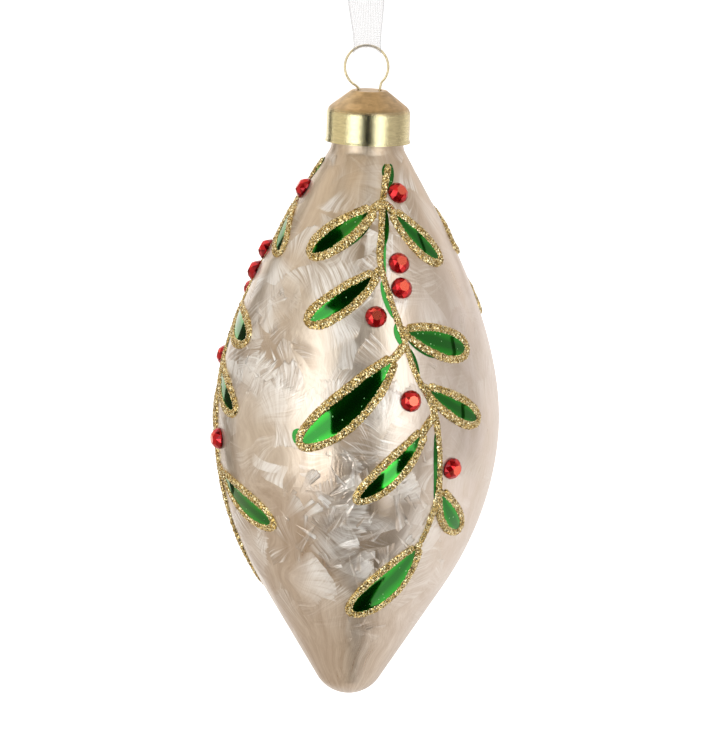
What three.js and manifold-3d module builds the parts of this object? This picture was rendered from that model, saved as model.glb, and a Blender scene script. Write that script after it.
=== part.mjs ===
// Glass finial ornament: a frosted glass drop with a gold cap, a sprung wire hanger and a sheer
// ribbon loop. Three leaf and berry sprigs are painted down the glass: clear green lacquer leaves
// inside raised lines of gold glitter, with red faceted stones beside the stems.
//
// Millimetres, +Z up. The origin is the hanging point, in the top of the ribbon loop under its
// knot. The ornament itself is laid out by height above the tip of the glass.

import * as THREE from 'three';
import { ConvexGeometry } from 'three/addons/geometries/ConvexGeometry.js';
import { mergeVertices } from 'three/addons/utils/BufferGeometryUtils.js';
import Module from 'manifold-3d';

const degrees = THREE.MathUtils.degToRad;

// Gap between pieces that touch on the real ornament
const CLEARANCE = 0.3;

// Glass drop, from its tip up
const GLASS_WALL = 1.0;
const TIP_RADIUS = 10;
const LOWER_CONE_HALF_ANGLE = degrees(32);
const LOWER_CONE_HEIGHT = 31.1;
const BELLY_RADIUS = 38.3;
const BELLY_HEIGHT = 75.6;
const BELLY_FULLNESS = 0.645;
const UPPER_CONE_HALF_ANGLE = degrees(30.1);
const SHOULDER_RADIUS = 19.2;
const SHOULDER_HEIGHT = 133.1;
const NECK_RADIUS = 9.65;
const NECK_FLARE_RADIUS = 5;
const NECK_LENGTH = 9.5;

// Drawn metal cap
const CAP_METAL = 0.4;
const CAP_TOP_RADIUS = 4.7;
const CAP_SHOULDER_RADIUS = 10.9;
const CAP_CONE_RISE = 4.8;
const CAP_SHOULDER_ROUND = 0.8;
const CAP_BAND_RADIUS = 11.2;
const CAP_BAND_DEPTH = 9.0;
const CAP_LIP_FLARE = 0.3;
const CAP_LIP_DEPTH = 1.2;

// Wire hanger: one wire bent into a ring and two spring legs
const WIRE_RADIUS = 0.33;
const RING_RADIUS = 5.8;
const RING_STAND = 1.2;
const RING_OFFSET = -1.0;
const LEG_SPACING = 5.6;
const HANGER_DRAW = 4;
const LEG_SPLAY_DROP = 6;
const LEG_SPRING_LENGTH = 20;

// Sheer ribbon, threaded through the ring and knotted at the top
const RIBBON_WIDTH = 10;
const RIBBON_GATHERED_WIDTH = 7.4;
const RIBBON_THICKNESS = 0.3;
const RIBBON_LEAN = degrees(3.7);
const HANG_DROP = 24;
const RIBBON_SPLIT_DROP = 14;
const RIBBON_OPENING_DROP = 8;
const EYE_LENGTH = 10;
const EYE_HALF_GAP = 2.9;
const KNOT_WIDTH = 9;
const KNOT_DEPTH = 4.8;
const KNOT_HEIGHT = 6;
const TAIL_LENGTH = 12;
const TAIL_LEAN = degrees(20);

// Glitter lines and green lacquer
const BEAD_WIDTH = 2.2;
const STEM_WIDTH = 1.8;
const BEAD_HEIGHT = 0.8;
const LACQUER_THICKNESS = 0.25;
const LEAF_BELLY = 0.62;

// Faceted flat-backed stones
const STONE_DIAMETER = 5.8;
const STONE_HEIGHT = 2.3;
const STONE_GIRDLE = 0.5;
const STONE_TABLE_SHARE = 0.42;

// One sprig, drawn flat: across is millimetres to the right round the glass, fall is millimetres
// down along the glass from the foot of its neck.
const STEM = [
  { across: 0, fall: 2.3 },
  { across: -3.2, fall: 10.2 },
  { across: -6.3, fall: 20.8 },
  { across: -8.6, fall: 32.2 },
  { across: -6.4, fall: 47.2 },
  { across: -3.2, fall: 60.6 },
  { across: 1.1, fall: 69.3 },
  { across: 3.4, fall: 81.9 },
  { across: 4.2, fall: 94.2 },
  { across: 1.7, fall: 107.4 },
];

// Leaves from the top down. A leaf leaves the stem at a joint, given by its fall, on a short stalk,
// and leans from straight down: negative to the left. Bend bows its middle sideways.
const LEAVES = [
  { joint: 12.9, stalk: 2.0, lean: -55.5, length: 27.0, width: 5.4, bend: 0 },
  { joint: 12.9, stalk: 2.4, lean: 39.5, length: 20.5, width: 5.8, bend: -0.9 },
  { joint: 31.8, stalk: 0.5, lean: -55, length: 27.1, width: 5.5, bend: 0.5 },
  { joint: 48.3, stalk: 0.5, lean: 72, length: 21.9, width: 7.5, bend: -0.3 },
  { joint: 52.3, stalk: 4.2, lean: -47, length: 36.6, width: 8.4, bend: 1.1 },
  { joint: 63.4, stalk: 0.5, lean: 61, length: 22.4, width: 6.0, bend: -0.5 },
  { joint: 71.1, stalk: 4.2, lean: -41, length: 26.6, width: 5.9, bend: 1.1 },
  { joint: 91.5, stalk: 0.9, lean: 39.5, length: 16.7, width: 6.3, bend: -0.9 },
  { joint: 107.2, stalk: 0.9, lean: -28.5, length: 26.3, width: 9.6, bend: 0.5 },
];

// Stones lie beside the stem on one side of it, some of them a little away
const STONES = [
  { fall: 10.5, side: 1, away: 0 },
  { fall: 30.3, side: 1, away: 0.9 },
  { fall: 37.2, side: 1, away: 0 },
  { fall: 45.0, side: -1, away: 1.5 },
  { fall: 67.4, side: -1, away: 1.6 },
  { fall: 86.3, side: 1, away: 0 },
];

// The sprigs are painted by hand: the left one has a longer leaf low down on its right, and its
// stones lie a little lower or higher
const SPRIGS = [
  { name: 'front', turn: 30, lowLeaf: {}, stoneDrops: [0, 0, 0, 0, 0, 0] },
  { name: 'right', turn: 154, lowLeaf: {}, stoneDrops: [0, 0, 0, 0, 0, 0] },
  {
    name: 'left',
    turn: -86,
    lowLeaf: { joint: 90.9, stalk: 3.9, lean: 62, length: 23.6, width: 8.0, bend: -0.6 },
    stoneDrops: [1.4, 1.4, 1.0, 0, -4.0, -2.6],
  },
];
const LOW_LEAF = 7;

// Facets
const GLASS_SIDES = 40;
const CAP_SIDES = 40;
const WIRE_SIDES = 6;
const WIRE_STEPS = 70;
const STEM_STEP = 4.5;
const LEAF_EDGE_STEPS = 6;
const LACQUER_STEPS = 6;
const STONE_SIDES = 6;
const RIBBON_CHORDS = 4;

// Finishes
const frostedGlass = finish('#d9cbb8', 0.35, 0.3);
const goldCap = finish('#c9a85c', 0.25, 1);
const goldWire = finish('#d8bd7a', 0.3, 1);
const sheerRibbon = finish('#f4f2f2', 0.7, 0);
const goldGlitter = finish('#c7a44a', 0.45, 0.8);
const greenLacquer = finish('#0e6b1c', 0.08, 0.4);
const redStone = finish('#c41420', 0.08, 0.2);

function finish(color, roughness, metalness) {
  return new THREE.MeshStandardMaterial({ color, roughness, metalness });
}

const wasm = await Module();
wasm.setup();

// Position-only geometry with shared corners and no collapsed triangles, facing outwards
function weld(geometry) {
  const bare = new THREE.BufferGeometry();
  bare.setAttribute('position', geometry.getAttribute('position').clone());
  bare.setIndex(geometry.getIndex());
  const merged = mergeVertices(bare, 1e-4);
  const corners = merged.getIndex().array;
  const kept = [];
  for (let i = 0; i < corners.length; i += 3) {
    const [a, b, c] = corners.slice(i, i + 3);
    if (a !== b && b !== c && c !== a) kept.push(a, b, c);
  }
  merged.setIndex(kept);
  return signedVolume(merged) < 0 ? turnedInsideOut(merged) : merged;
}

function signedVolume(geometry) {
  const position = geometry.getAttribute('position');
  const index = geometry.getIndex();
  const [a, b, c] = [new THREE.Vector3(), new THREE.Vector3(), new THREE.Vector3()];
  let sixfold = 0;
  for (let i = 0; i < index.count; i += 3) {
    a.fromBufferAttribute(position, index.getX(i));
    b.fromBufferAttribute(position, index.getX(i + 1));
    c.fromBufferAttribute(position, index.getX(i + 2));
    sixfold += a.dot(b.cross(c));
  }
  return sixfold / 6;
}

function turnedInsideOut(geometry) {
  const corners = Array.from(geometry.getIndex().array);
  geometry.setIndex(corners.map((_, i) => corners[i - (i % 3) + (2 - (i % 3))]));
  return geometry;
}

function toSolid(geometry) {
  const welded = weld(geometry);
  return new wasm.Manifold(new wasm.Mesh({
    numProp: 3,
    vertProperties: new Float32Array(welded.getAttribute('position').array),
    triVerts: new Uint32Array(welded.getIndex().array),
  }));
}

function fromSolid(solid) {
  const mesh = solid.getMesh();
  const geometry = new THREE.BufferGeometry();
  geometry.setAttribute('position', new THREE.BufferAttribute(mesh.vertProperties, 3));
  geometry.setIndex(new THREE.BufferAttribute(mesh.triVerts, 1));
  return geometry;
}

function joined(geometries) {
  const [first, ...rest] = geometries.map(toSolid);
  return fromSolid(rest.reduce((whole, piece) => whole.add(piece), first));
}

// A closed solid through a row of loops with as many points each, flat at both ends. Its quads are
// split the same way on the loop's first half as on its second, so a thin film's faces stay apart.
function loft(loops) {
  const around = loops[0].length;
  const positions = loops.flat().flatMap((point) => point.toArray());
  const indices = [];
  for (let s = 0; s + 1 < loops.length; s += 1) {
    for (let k = 0; k < around; k += 1) {
      const a = s * around + k;
      const b = s * around + ((k + 1) % around);
      const [aNext, bNext] = [a + around, b + around];
      if (k < around / 2) indices.push(a, b, bNext, a, bNext, aNext);
      else indices.push(a, b, aNext, b, bNext, aNext);
    }
  }
  const last = (loops.length - 1) * around;
  for (let low = 0, high = around - 1; high - low > 1; low += 1, high -= 1) {
    indices.push(low + 1, low, high);
    indices.push(last + low, last + low + 1, last + high);
    if (high - low > 2) {
      indices.push(low + 1, high, high - 1);
      indices.push(last + low + 1, last + high - 1, last + high);
    }
  }
  const geometry = new THREE.BufferGeometry();
  geometry.setAttribute('position', new THREE.Float32BufferAttribute(positions, 3));
  geometry.setIndex(indices);
  return weld(geometry);
}

// A half profile, as radius and height, turned about the ornament's upright axis
function turned(profile, sides) {
  return weld(new THREE.LatheGeometry(profile, sides).rotateX(Math.PI / 2));
}

// Half profile of the glass outside, as radius and height
const neckMeetsCone = SHOULDER_HEIGHT + (SHOULDER_RADIUS - NECK_RADIUS) / Math.tan(UPPER_CONE_HALF_ANGLE);
const flareReach = NECK_FLARE_RADIUS * Math.tan(UPPER_CONE_HALF_ANGLE / 2);
const neckTop = neckMeetsCone + flareReach + NECK_LENGTH;

// Handle of a Bezier from one end towards the corner where its two tangents cross
function towards(end, corner) {
  return new THREE.Vector2().lerpVectors(end, corner, BELLY_FULLNESS);
}

function glassOutline(tipSteps, bellySteps, flareSteps) {
  const coneStart = new THREE.Vector2(
    TIP_RADIUS * Math.cos(LOWER_CONE_HALF_ANGLE),
    TIP_RADIUS * (1 - Math.sin(LOWER_CONE_HALF_ANGLE)),
  );
  const lowerSlope = Math.tan(LOWER_CONE_HALF_ANGLE);
  const upperSlope = Math.tan(UPPER_CONE_HALF_ANGLE);
  const coneEnd = new THREE.Vector2(
    coneStart.x + (LOWER_CONE_HEIGHT - coneStart.y) * lowerSlope,
    LOWER_CONE_HEIGHT,
  );
  const belly = new THREE.Vector2(BELLY_RADIUS, BELLY_HEIGHT);
  const shoulder = new THREE.Vector2(SHOULDER_RADIUS, SHOULDER_HEIGHT);
  const lowCorner = new THREE.Vector2(BELLY_RADIUS, coneEnd.y + (BELLY_RADIUS - coneEnd.x) / lowerSlope);
  const highCorner = new THREE.Vector2(BELLY_RADIUS, shoulder.y - (BELLY_RADIUS - shoulder.x) / upperSlope);
  const lower = new THREE.CubicBezierCurve(
    coneEnd,
    towards(coneEnd, lowCorner),
    towards(belly, lowCorner),
    belly,
  );
  const upper = new THREE.CubicBezierCurve(
    belly,
    towards(belly, highCorner),
    towards(shoulder, highCorner),
    shoulder,
  );
  const flareCentre = new THREE.Vector2(NECK_RADIUS + NECK_FLARE_RADIUS, neckMeetsCone + flareReach);
  const tip = [];
  for (let i = 0; i <= tipSteps; i += 1) {
    const angle = THREE.MathUtils.lerp(-Math.PI / 2, -LOWER_CONE_HALF_ANGLE, i / tipSteps);
    tip.push(new THREE.Vector2(TIP_RADIUS * Math.cos(angle), TIP_RADIUS * (1 + Math.sin(angle))));
  }
  const flare = [];
  for (let i = 0; i <= flareSteps; i += 1) {
    const angle = Math.PI + UPPER_CONE_HALF_ANGLE * (1 - i / flareSteps);
    const offset = new THREE.Vector2(Math.cos(angle), Math.sin(angle)).multiplyScalar(NECK_FLARE_RADIUS);
    flare.push(offset.add(flareCentre));
  }
  return [
    ...tip,
    ...lower.getPoints(bellySteps),
    ...upper.getPoints(bellySteps).slice(1),
    ...flare,
    new THREE.Vector2(NECK_RADIUS, neckTop),
  ];
}

// The same outline moved inwards by the wall
function insideOutline(outline) {
  return outline.map((point, i) => {
    if (i === 0) return new THREE.Vector2(0, point.y + GLASS_WALL);
    const before = outline[i - 1];
    const after = outline[Math.min(i + 1, outline.length - 1)];
    const along = new THREE.Vector2().subVectors(after, before).normalize();
    return new THREE.Vector2(point.x - along.y * GLASS_WALL, point.y + along.x * GLASS_WALL);
  });
}

function glassBody() {
  const outside = glassOutline(4, 7, 3);
  const inside = insideOutline(glassOutline(2, 4, 1));
  inside[inside.length - 1].set(NECK_RADIUS - GLASS_WALL, neckTop);
  return turned([...outside, ...inside.reverse()], GLASS_SIDES);
}

// Places on the outside of the glass, found by distance down its outline from the foot of the neck
const surface = glassOutline(24, 48, 12).reverse();
const neckSteps = 1 + 12;
const surfaceFall = surface.map(() => 0);
for (let i = 1; i < surface.length; i += 1) {
  surfaceFall[i] = surfaceFall[i - 1] + surface[i].distanceTo(surface[i - 1]);
}
const footOfNeck = surfaceFall[neckSteps];

function surfaceAt(fall) {
  let i = 1;
  while (i < surface.length - 1 && surfaceFall[i] - footOfNeck < fall) i += 1;
  const share = (fall + footOfNeck - surfaceFall[i - 1]) / (surfaceFall[i] - surfaceFall[i - 1]);
  const point = new THREE.Vector2().lerpVectors(surface[i - 1], surface[i], share);
  const along = new THREE.Vector2().subVectors(surface[i - 1], surface[i]).normalize();
  return { radius: point.x, height: point.y, out: along.y, up: -along.x };
}

// Facing the viewer at across 0, before the sprig is turned round the glass
function onGlass(across, fall, lift) {
  const spot = surfaceAt(fall);
  const angle = across / spot.radius;
  const radius = spot.radius + lift * spot.out;
  return new THREE.Vector3(
    radius * Math.sin(angle),
    -radius * Math.cos(angle),
    spot.height + lift * spot.up,
  );
}

const stemCurve = new THREE.SplineCurve(STEM.map(({ across, fall }) => new THREE.Vector2(across, fall)));
const stemPoints = stemCurve.getPoints(120);

function stemAt(fall) {
  let next = 1;
  while (next < stemPoints.length - 1 && stemPoints[next].y < fall) next += 1;
  const [above, below] = [stemPoints[next - 1], stemPoints[next]];
  return new THREE.Vector2().lerpVectors(above, below, (fall - above.y) / (below.y - above.y));
}

// One squeezed line of glitter glue: a low dome that lies on the glass along a drawn line
function glitterLine(line, width) {
  const dome = [[-0.5, 0], [-0.24, 1], [0.24, 1], [0.5, 0]];
  const endSize = 0.6;
  return loft(line.map((point, i) => {
    const before = line[Math.max(i - 1, 0)];
    const after = line[Math.min(i + 1, line.length - 1)];
    const along = new THREE.Vector2().subVectors(after, before).normalize();
    const size = i === 0 || i === line.length - 1 ? endSize : 1;
    return dome.map(([aside, high]) => {
      const reach = aside * width * size;
      const lift = CLEARANCE + high * BEAD_HEIGHT * size;
      return onGlass(point.x + along.y * reach, point.y - along.x * reach, lift);
    });
  }));
}

// A leaf's drawn shape: pointed where it leaves its stalk, widest at its belly, round at its tip
function leafShape(leaf, inset = 0) {
  const lean = degrees(leaf.lean);
  const axis = new THREE.Vector2(Math.sin(lean), Math.cos(lean));
  const aside = new THREE.Vector2(axis.y, -axis.x);
  const power = (0.5 * LEAF_BELLY) / (1 - LEAF_BELLY);
  const peak = LEAF_BELLY ** power * Math.sqrt(1 - LEAF_BELLY);
  const root = stemAt(leaf.joint).addScaledVector(axis, leaf.stalk);
  const halfWidth = (share) => (leaf.width / 2) * (share ** power * Math.sqrt(1 - share)) / peak;
  return {
    root,
    halfWidth,
    middle: (share) => root.clone()
      .addScaledVector(axis, share * leaf.length)
      .addScaledVector(aside, 4 * leaf.bend * share * (1 - share)),
    edge(share, side) {
      return this.middle(share).addScaledVector(aside, side * (halfWidth(share) - inset));
    },
  };
}

// Where along a leaf its half width first reaches a given size
function shareAtHalfWidth(leaf, halfWidth, from, to) {
  const shape = leafShape(leaf);
  const steps = 60;
  for (let i = 0; i <= steps; i += 1) {
    const share = THREE.MathUtils.lerp(from, to, i / steps);
    if (shape.halfWidth(share) >= halfWidth) return share;
  }
  return to;
}

// Glitter round one leaf: a stalk line from the stem, and a line round the blade and back
function leafGlitter(leaf) {
  const shape = leafShape(leaf);
  const start = shareAtHalfWidth(leaf, BEAD_WIDTH * 0.35, 0.01, LEAF_BELLY);
  const edge = (side) => {
    const points = [];
    for (let i = 0; i < LEAF_EDGE_STEPS; i += 1) {
      const share = start + (1 - start) * Math.sin((Math.PI / 2) * (i / LEAF_EDGE_STEPS));
      points.push(shape.edge(share, side));
    }
    return points;
  };
  const blade = [...edge(1), shape.middle(1), ...edge(-1).reverse()];
  const joint = stemAt(leaf.joint);
  const reach = shape.middle(start * 1.5);
  const stalk = [joint, new THREE.Vector2().lerpVectors(joint, reach, 0.5), reach];
  return [glitterLine(blade, BEAD_WIDTH), glitterLine(stalk, BEAD_WIDTH)];
}

function glitterSprig(leaves) {
  const stemSteps = Math.ceil(stemCurve.getLength() / STEM_STEP);
  const stemLine = new THREE.SplineCurve(stemPoints).getSpacedPoints(stemSteps);
  return joined([glitterLine(stemLine, STEM_WIDTH), ...leaves.flatMap(leafGlitter)]);
}

// A pool of lacquer inside a leaf's glitter line, thickest along its middle
function leafLacquer(leaf) {
  const inset = BEAD_WIDTH / 2 + CLEARANCE;
  const edgeHalfWidth = 0.12;
  const shape = leafShape(leaf, inset);
  const first = shareAtHalfWidth(leaf, inset + edgeHalfWidth, 0, LEAF_BELLY);
  const last = Math.min(
    1 - inset / leaf.length,
    shareAtHalfWidth(leaf, inset + edgeHalfWidth, 1, LEAF_BELLY),
  );
  const loops = [];
  for (let i = 0; i <= LACQUER_STEPS; i += 1) {
    const turn = Math.PI * (1 - i / LACQUER_STEPS);
    const share = THREE.MathUtils.lerp(first, last, 0.5 + 0.5 * Math.cos(turn));
    const left = shape.edge(share, 1);
    const right = shape.edge(share, -1);
    const middle = shape.middle(share);
    loops.push([
      onGlass(left.x, left.y, CLEARANCE + LACQUER_THICKNESS / 2),
      onGlass(middle.x, middle.y, CLEARANCE + LACQUER_THICKNESS),
      onGlass(right.x, right.y, CLEARANCE + LACQUER_THICKNESS / 2),
      onGlass(middle.x, middle.y, CLEARANCE),
    ]);
  }
  return loft(loops);
}

// Flat back, straight girdle, a crown of kite facets and a flat table
function stone() {
  const ring = (count, radius, height, turn) => {
    const points = [];
    for (let i = 0; i < count; i += 1) {
      const angle = (2 * Math.PI * (i + turn)) / count;
      points.push(new THREE.Vector3(radius * Math.cos(angle), radius * Math.sin(angle), height));
    }
    return points;
  };
  const radius = STONE_DIAMETER / 2;
  const tableRadius = radius * STONE_TABLE_SHARE;
  const crownRadius = (radius + tableRadius) / 2 + 0.12 * radius;
  const crownHeight = STONE_GIRDLE + 0.62 * (STONE_HEIGHT - STONE_GIRDLE);
  return weld(new ConvexGeometry([
    ...ring(2 * STONE_SIDES, radius, 0, 0),
    ...ring(2 * STONE_SIDES, radius, STONE_GIRDLE, 0),
    ...ring(STONE_SIDES, crownRadius, crownHeight, 0.5),
    ...ring(STONE_SIDES, tableRadius, STONE_HEIGHT, 0),
  ]));
}

function setOnGlass(mesh, across, fall) {
  const spot = surfaceAt(fall);
  const angle = across / spot.radius;
  const outward = new THREE.Vector3(spot.out * Math.sin(angle), -spot.out * Math.cos(angle), spot.up);
  const sideways = new THREE.Vector3(Math.cos(angle), Math.sin(angle), 0);
  const upward = new THREE.Vector3().crossVectors(outward, sideways);
  mesh.quaternion.setFromRotationMatrix(new THREE.Matrix4().makeBasis(sideways, upward, outward));
  mesh.position.copy(onGlass(across, fall, CLEARANCE));
  return mesh;
}

// Cap heights follow the neck: the inside of the cone sits on the neck's rim
const coneSlope = CAP_CONE_RISE / (CAP_SHOULDER_RADIUS - CAP_TOP_RADIUS);
const coneSlant = Math.hypot(1, coneSlope);
const capShoulder = neckTop + (CLEARANCE + CAP_METAL) * coneSlant
  - (CAP_SHOULDER_RADIUS - NECK_RADIUS) * coneSlope;
const capTop = capShoulder + CAP_CONE_RISE;
const capBottom = capShoulder - CAP_BAND_DEPTH;

function capOutline(metal) {
  const topRadius = CAP_TOP_RADIUS - metal * (coneSlant - 1) / coneSlope;
  const shoulderRadius = CAP_SHOULDER_RADIUS - metal * coneSlope / (1 + coneSlope);
  const round = CAP_SHOULDER_ROUND;
  const bandRadius = CAP_BAND_RADIUS - metal;
  const shoulderHeight = capShoulder - metal * (coneSlant - coneSlope) / (1 + coneSlope);
  const corner = new THREE.Vector2(shoulderRadius, shoulderHeight);
  const above = new THREE.Vector2(shoulderRadius - round, shoulderHeight + round * coneSlope);
  const below = new THREE.Vector2(bandRadius, shoulderHeight - 1.5 * round);
  return [
    new THREE.Vector2(0, capTop - metal),
    new THREE.Vector2(topRadius, capTop - metal),
    ...new THREE.QuadraticBezierCurve(above, corner, below).getPoints(4),
    new THREE.Vector2(bandRadius, capBottom + CAP_LIP_DEPTH),
    new THREE.Vector2(bandRadius + CAP_LIP_FLARE, capBottom),
  ];
}

function cap() {
  const shell = turned([...capOutline(0), ...capOutline(CAP_METAL).reverse()], CAP_SIDES);
  const holeRadius = WIRE_RADIUS + CLEARANCE;
  const hole = new THREE.CylinderGeometry(holeRadius, holeRadius, CAP_CONE_RISE, 16);
  hole.rotateX(Math.PI / 2);
  const holes = [-1, 1].map((side) => hole.clone().translate((side * LEG_SPACING) / 2, 0, capTop));
  const drilled = holes.map(toSolid).reduce((whole, drill) => whole.subtract(drill), toSolid(shell));
  return fromSolid(drilled);
}

// The ring's lowest turn stands a little above the cap, where its legs go in. The ring is bent a
// little off the middle of its legs.
const ringCentre = capTop + RING_STAND + Math.sqrt(RING_RADIUS ** 2 - (LEG_SPACING / 2) ** 2);
const ringTop = ringCentre + RING_RADIUS;

function wireHanger() {
  const legX = LEG_SPACING / 2;
  const springX = NECK_RADIUS - GLASS_WALL - CLEARANCE - WIRE_RADIUS;
  const splayStart = capTop - CAP_METAL - HANGER_DRAW - 1;
  const splayEnd = splayStart - LEG_SPLAY_DROP;
  const legEnd = splayEnd - LEG_SPRING_LENGTH;
  const leg = (side) => [
    new THREE.Vector3(side * springX, 0, legEnd),
    new THREE.Vector3(side * springX, 0, (legEnd + splayEnd) / 2),
    new THREE.Vector3(side * springX, 0, splayEnd - 1),
    new THREE.Vector3(side * (springX - 0.3), 0, splayEnd + 0.5),
    new THREE.Vector3(side * (legX + 0.3), 0, splayStart - 0.8),
    new THREE.Vector3(side * legX, 0, splayStart + 0.6),
    new THREE.Vector3(side * legX, 0, capTop - 1),
    new THREE.Vector3(side * legX, 0, capTop + 0.7 * RING_STAND),
  ];
  const opening = Math.asin(legX / RING_RADIUS);
  const ring = [];
  const turns = 18;
  for (let i = 1; i < turns; i += 1) {
    const angle = THREE.MathUtils.lerp(-Math.PI + opening, Math.PI - opening, i / turns);
    ring.push(new THREE.Vector3(
      RING_OFFSET + RING_RADIUS * Math.sin(angle),
      0,
      ringCentre + RING_RADIUS * Math.cos(angle),
    ));
  }
  const path = new THREE.CatmullRomCurve3([...leg(-1), ...ring, ...leg(1).reverse()], false, 'centripetal');
  path.arcLengthDivisions = 4 * WIRE_STEPS;
  const section = new THREE.Shape().absarc(0, 0, WIRE_RADIUS, 0, 2 * Math.PI, false);
  return weld(new THREE.ExtrudeGeometry(section, {
    steps: WIRE_STEPS, curveSegments: WIRE_SIDES / 2, bevelEnabled: false, extrudePath: path,
  }));
}

// The ribbon is drawn from the hanging point down: drop is the distance below it. It leans, so that
// its lower end reaches the ring's middle.
const ringReach = HANG_DROP * Math.tan(RIBBON_LEAN);

function leaned(geometry) {
  const position = geometry.getAttribute('position');
  for (let i = 0; i < position.count; i += 1) {
    const drop = Math.min(-position.getZ(i), HANG_DROP);
    position.setX(i, position.getX(i) + ringReach * (drop / HANG_DROP));
  }
  return geometry;
}

function ribbonHalfWidth(drop) {
  const share = THREE.MathUtils.smoothstep(drop, EYE_LENGTH, HANG_DROP);
  return THREE.MathUtils.lerp(RIBBON_WIDTH, RIBBON_GATHERED_WIDTH, share) / 2;
}

// Inside radius of the turn under the ring's wire: it cups round the ring at any swing
function turnRadius(x) {
  const inside = RING_RADIUS - WIRE_RADIUS - CLEARANCE;
  return RING_RADIUS - Math.sqrt(inside ** 2 - x ** 2);
}

// Half the gap between the two runs: open for the hook, closed when taut, open over the wire
function runHalfGap(drop, x) {
  const eye = drop < EYE_LENGTH ? EYE_HALF_GAP * Math.sqrt(Math.sin((Math.PI * drop) / EYE_LENGTH)) : 0;
  const opening = THREE.MathUtils.smoothstep(drop, HANG_DROP - RIBBON_OPENING_DROP, HANG_DROP);
  return THREE.MathUtils.lerp(CLEARANCE, turnRadius(x), opening) + eye;
}

function ribbonLoop(halfWidth, place) {
  const inner = [];
  const outer = [];
  for (let k = 0; k <= RIBBON_CHORDS; k += 1) {
    const x = halfWidth * ((2 * k) / RIBBON_CHORDS - 1);
    inner.push(place(x, 0));
    outer.unshift(place(x, RIBBON_THICKNESS));
  }
  return [...inner, ...outer];
}

function runLoop(drop, side) {
  return ribbonLoop(ribbonHalfWidth(drop), (x, layer) => (
    new THREE.Vector3(x, side * (runHalfGap(drop, x) + layer), -drop)
  ));
}

function ribbonLower() {
  const loops = [];
  const runSteps = 4;
  const turnSteps = 8;
  const drops = [];
  for (let i = 0; i < runSteps; i += 1) {
    drops.push(THREE.MathUtils.lerp(RIBBON_SPLIT_DROP, HANG_DROP, i / runSteps));
  }
  for (const drop of drops) loops.push(runLoop(drop, -1));
  for (let i = 0; i <= turnSteps; i += 1) {
    const angle = Math.PI * (i / turnSteps - 0.5);
    loops.push(ribbonLoop(ribbonHalfWidth(HANG_DROP), (x, layer) => {
      const radius = turnRadius(x) + layer;
      return new THREE.Vector3(x, radius * Math.sin(angle), -HANG_DROP - radius * Math.cos(angle));
    }));
  }
  for (const drop of drops.reverse()) loops.push(runLoop(drop, 1));
  return leaned(loft(loops));
}

function knotBody() {
  const loops = [];
  const rings = 6;
  const sides = 10;
  for (let i = 0; i <= rings; i += 1) {
    const lift = THREE.MathUtils.lerp(-1, 1, i / rings);
    const swell = Math.sqrt(1 - (0.9 * lift) ** 2);
    const loop = [];
    for (let k = 0; k < sides; k += 1) {
      const angle = (2 * Math.PI * (k + 0.5)) / sides;
      loop.push(new THREE.Vector3(
        (KNOT_WIDTH / 2) * swell * Math.cos(angle),
        (KNOT_DEPTH / 2) * swell * Math.sin(angle),
        CLEARANCE + (KNOT_HEIGHT / 2) * (1 + lift),
      ));
    }
    loops.push(loop);
  }
  return loft(loops);
}

function ribbonTail(side) {
  const root = CLEARANCE + KNOT_HEIGHT * 0.7;
  const endSlant = 0.35;
  return loft([0, 0.4, 0.8, 1].map((share) => {
    const climb = share * TAIL_LENGTH;
    return ribbonLoop(RIBBON_WIDTH * (0.3 + 0.2 * share), (x, layer) => new THREE.Vector3(
      x * Math.cos(TAIL_LEAN) + side * climb * Math.sin(TAIL_LEAN),
      side * (0.6 + 1.6 * share) + layer - RIBBON_THICKNESS / 2,
      root + climb * Math.cos(TAIL_LEAN) - side * x * Math.sin(TAIL_LEAN) + x * endSlant * share,
    ));
  }));
}

function ribbonUpper() {
  const lastDrop = RIBBON_SPLIT_DROP - CLEARANCE;
  const firstDrop = -CLEARANCE - KNOT_HEIGHT / 3;
  const steps = 10;
  const run = (side) => {
    const loops = [];
    for (let i = 0; i <= steps; i += 1) {
      const drop = THREE.MathUtils.lerp(firstDrop, lastDrop, i / steps);
      loops.push(ribbonLoop(ribbonHalfWidth(drop) * (drop < 0 ? 0.8 : 1), (x, layer) => (
        new THREE.Vector3(x, side * (runHalfGap(Math.max(drop, 0), x) + layer), -drop)
      )));
    }
    return loft(loops);
  };
  return leaned(joined([knotBody(), run(-1), run(1), ribbonTail(-1), ribbonTail(1)]));
}

function named(name, geometry, material) {
  const mesh = new THREE.Mesh(geometry, material);
  mesh.name = name;
  return mesh;
}

function sprig({ name, turn, lowLeaf, stoneDrops }) {
  const group = new THREE.Group();
  group.rotation.z = degrees(turn);
  const leaves = LEAVES.map((leaf, i) => (i === LOW_LEAF ? { ...leaf, ...lowLeaf } : leaf));
  group.add(named(`glitter_${name}`, glitterSprig(leaves), goldGlitter));
  leaves.forEach((leaf, i) => {
    group.add(named(`leaf_${name}_${i + 1}`, leafLacquer(leaf), greenLacquer));
  });
  STONES.forEach(({ fall, side, away }, i) => {
    const beside = STONE_DIAMETER / 2 + STEM_WIDTH / 2 + CLEARANCE + away;
    const spot = stemAt(fall + stoneDrops[i]);
    const mesh = named(`stone_${name}_${i + 1}`, stone(), redStone);
    group.add(setOnGlass(mesh, spot.x + side * beside, spot.y));
  });
  return group;
}

const finial = new THREE.Group();
finial.add(named('ribbon_upper', ribbonUpper(), sheerRibbon));
finial.add(named('ribbon_lower', ribbonLower(), sheerRibbon));

const ornament = new THREE.Group();
ornament.position.set(ringReach - RING_OFFSET, 0, -HANG_DROP - ringTop);
ornament.add(named('wire_hanger', wireHanger(), goldWire));
ornament.add(named('cap', cap(), goldCap));
ornament.add(named('glass_body', glassBody(), frostedGlass));
SPRIGS.forEach((layout) => ornament.add(sprig(layout)));
finial.add(ornament);

export default finial;
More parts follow.
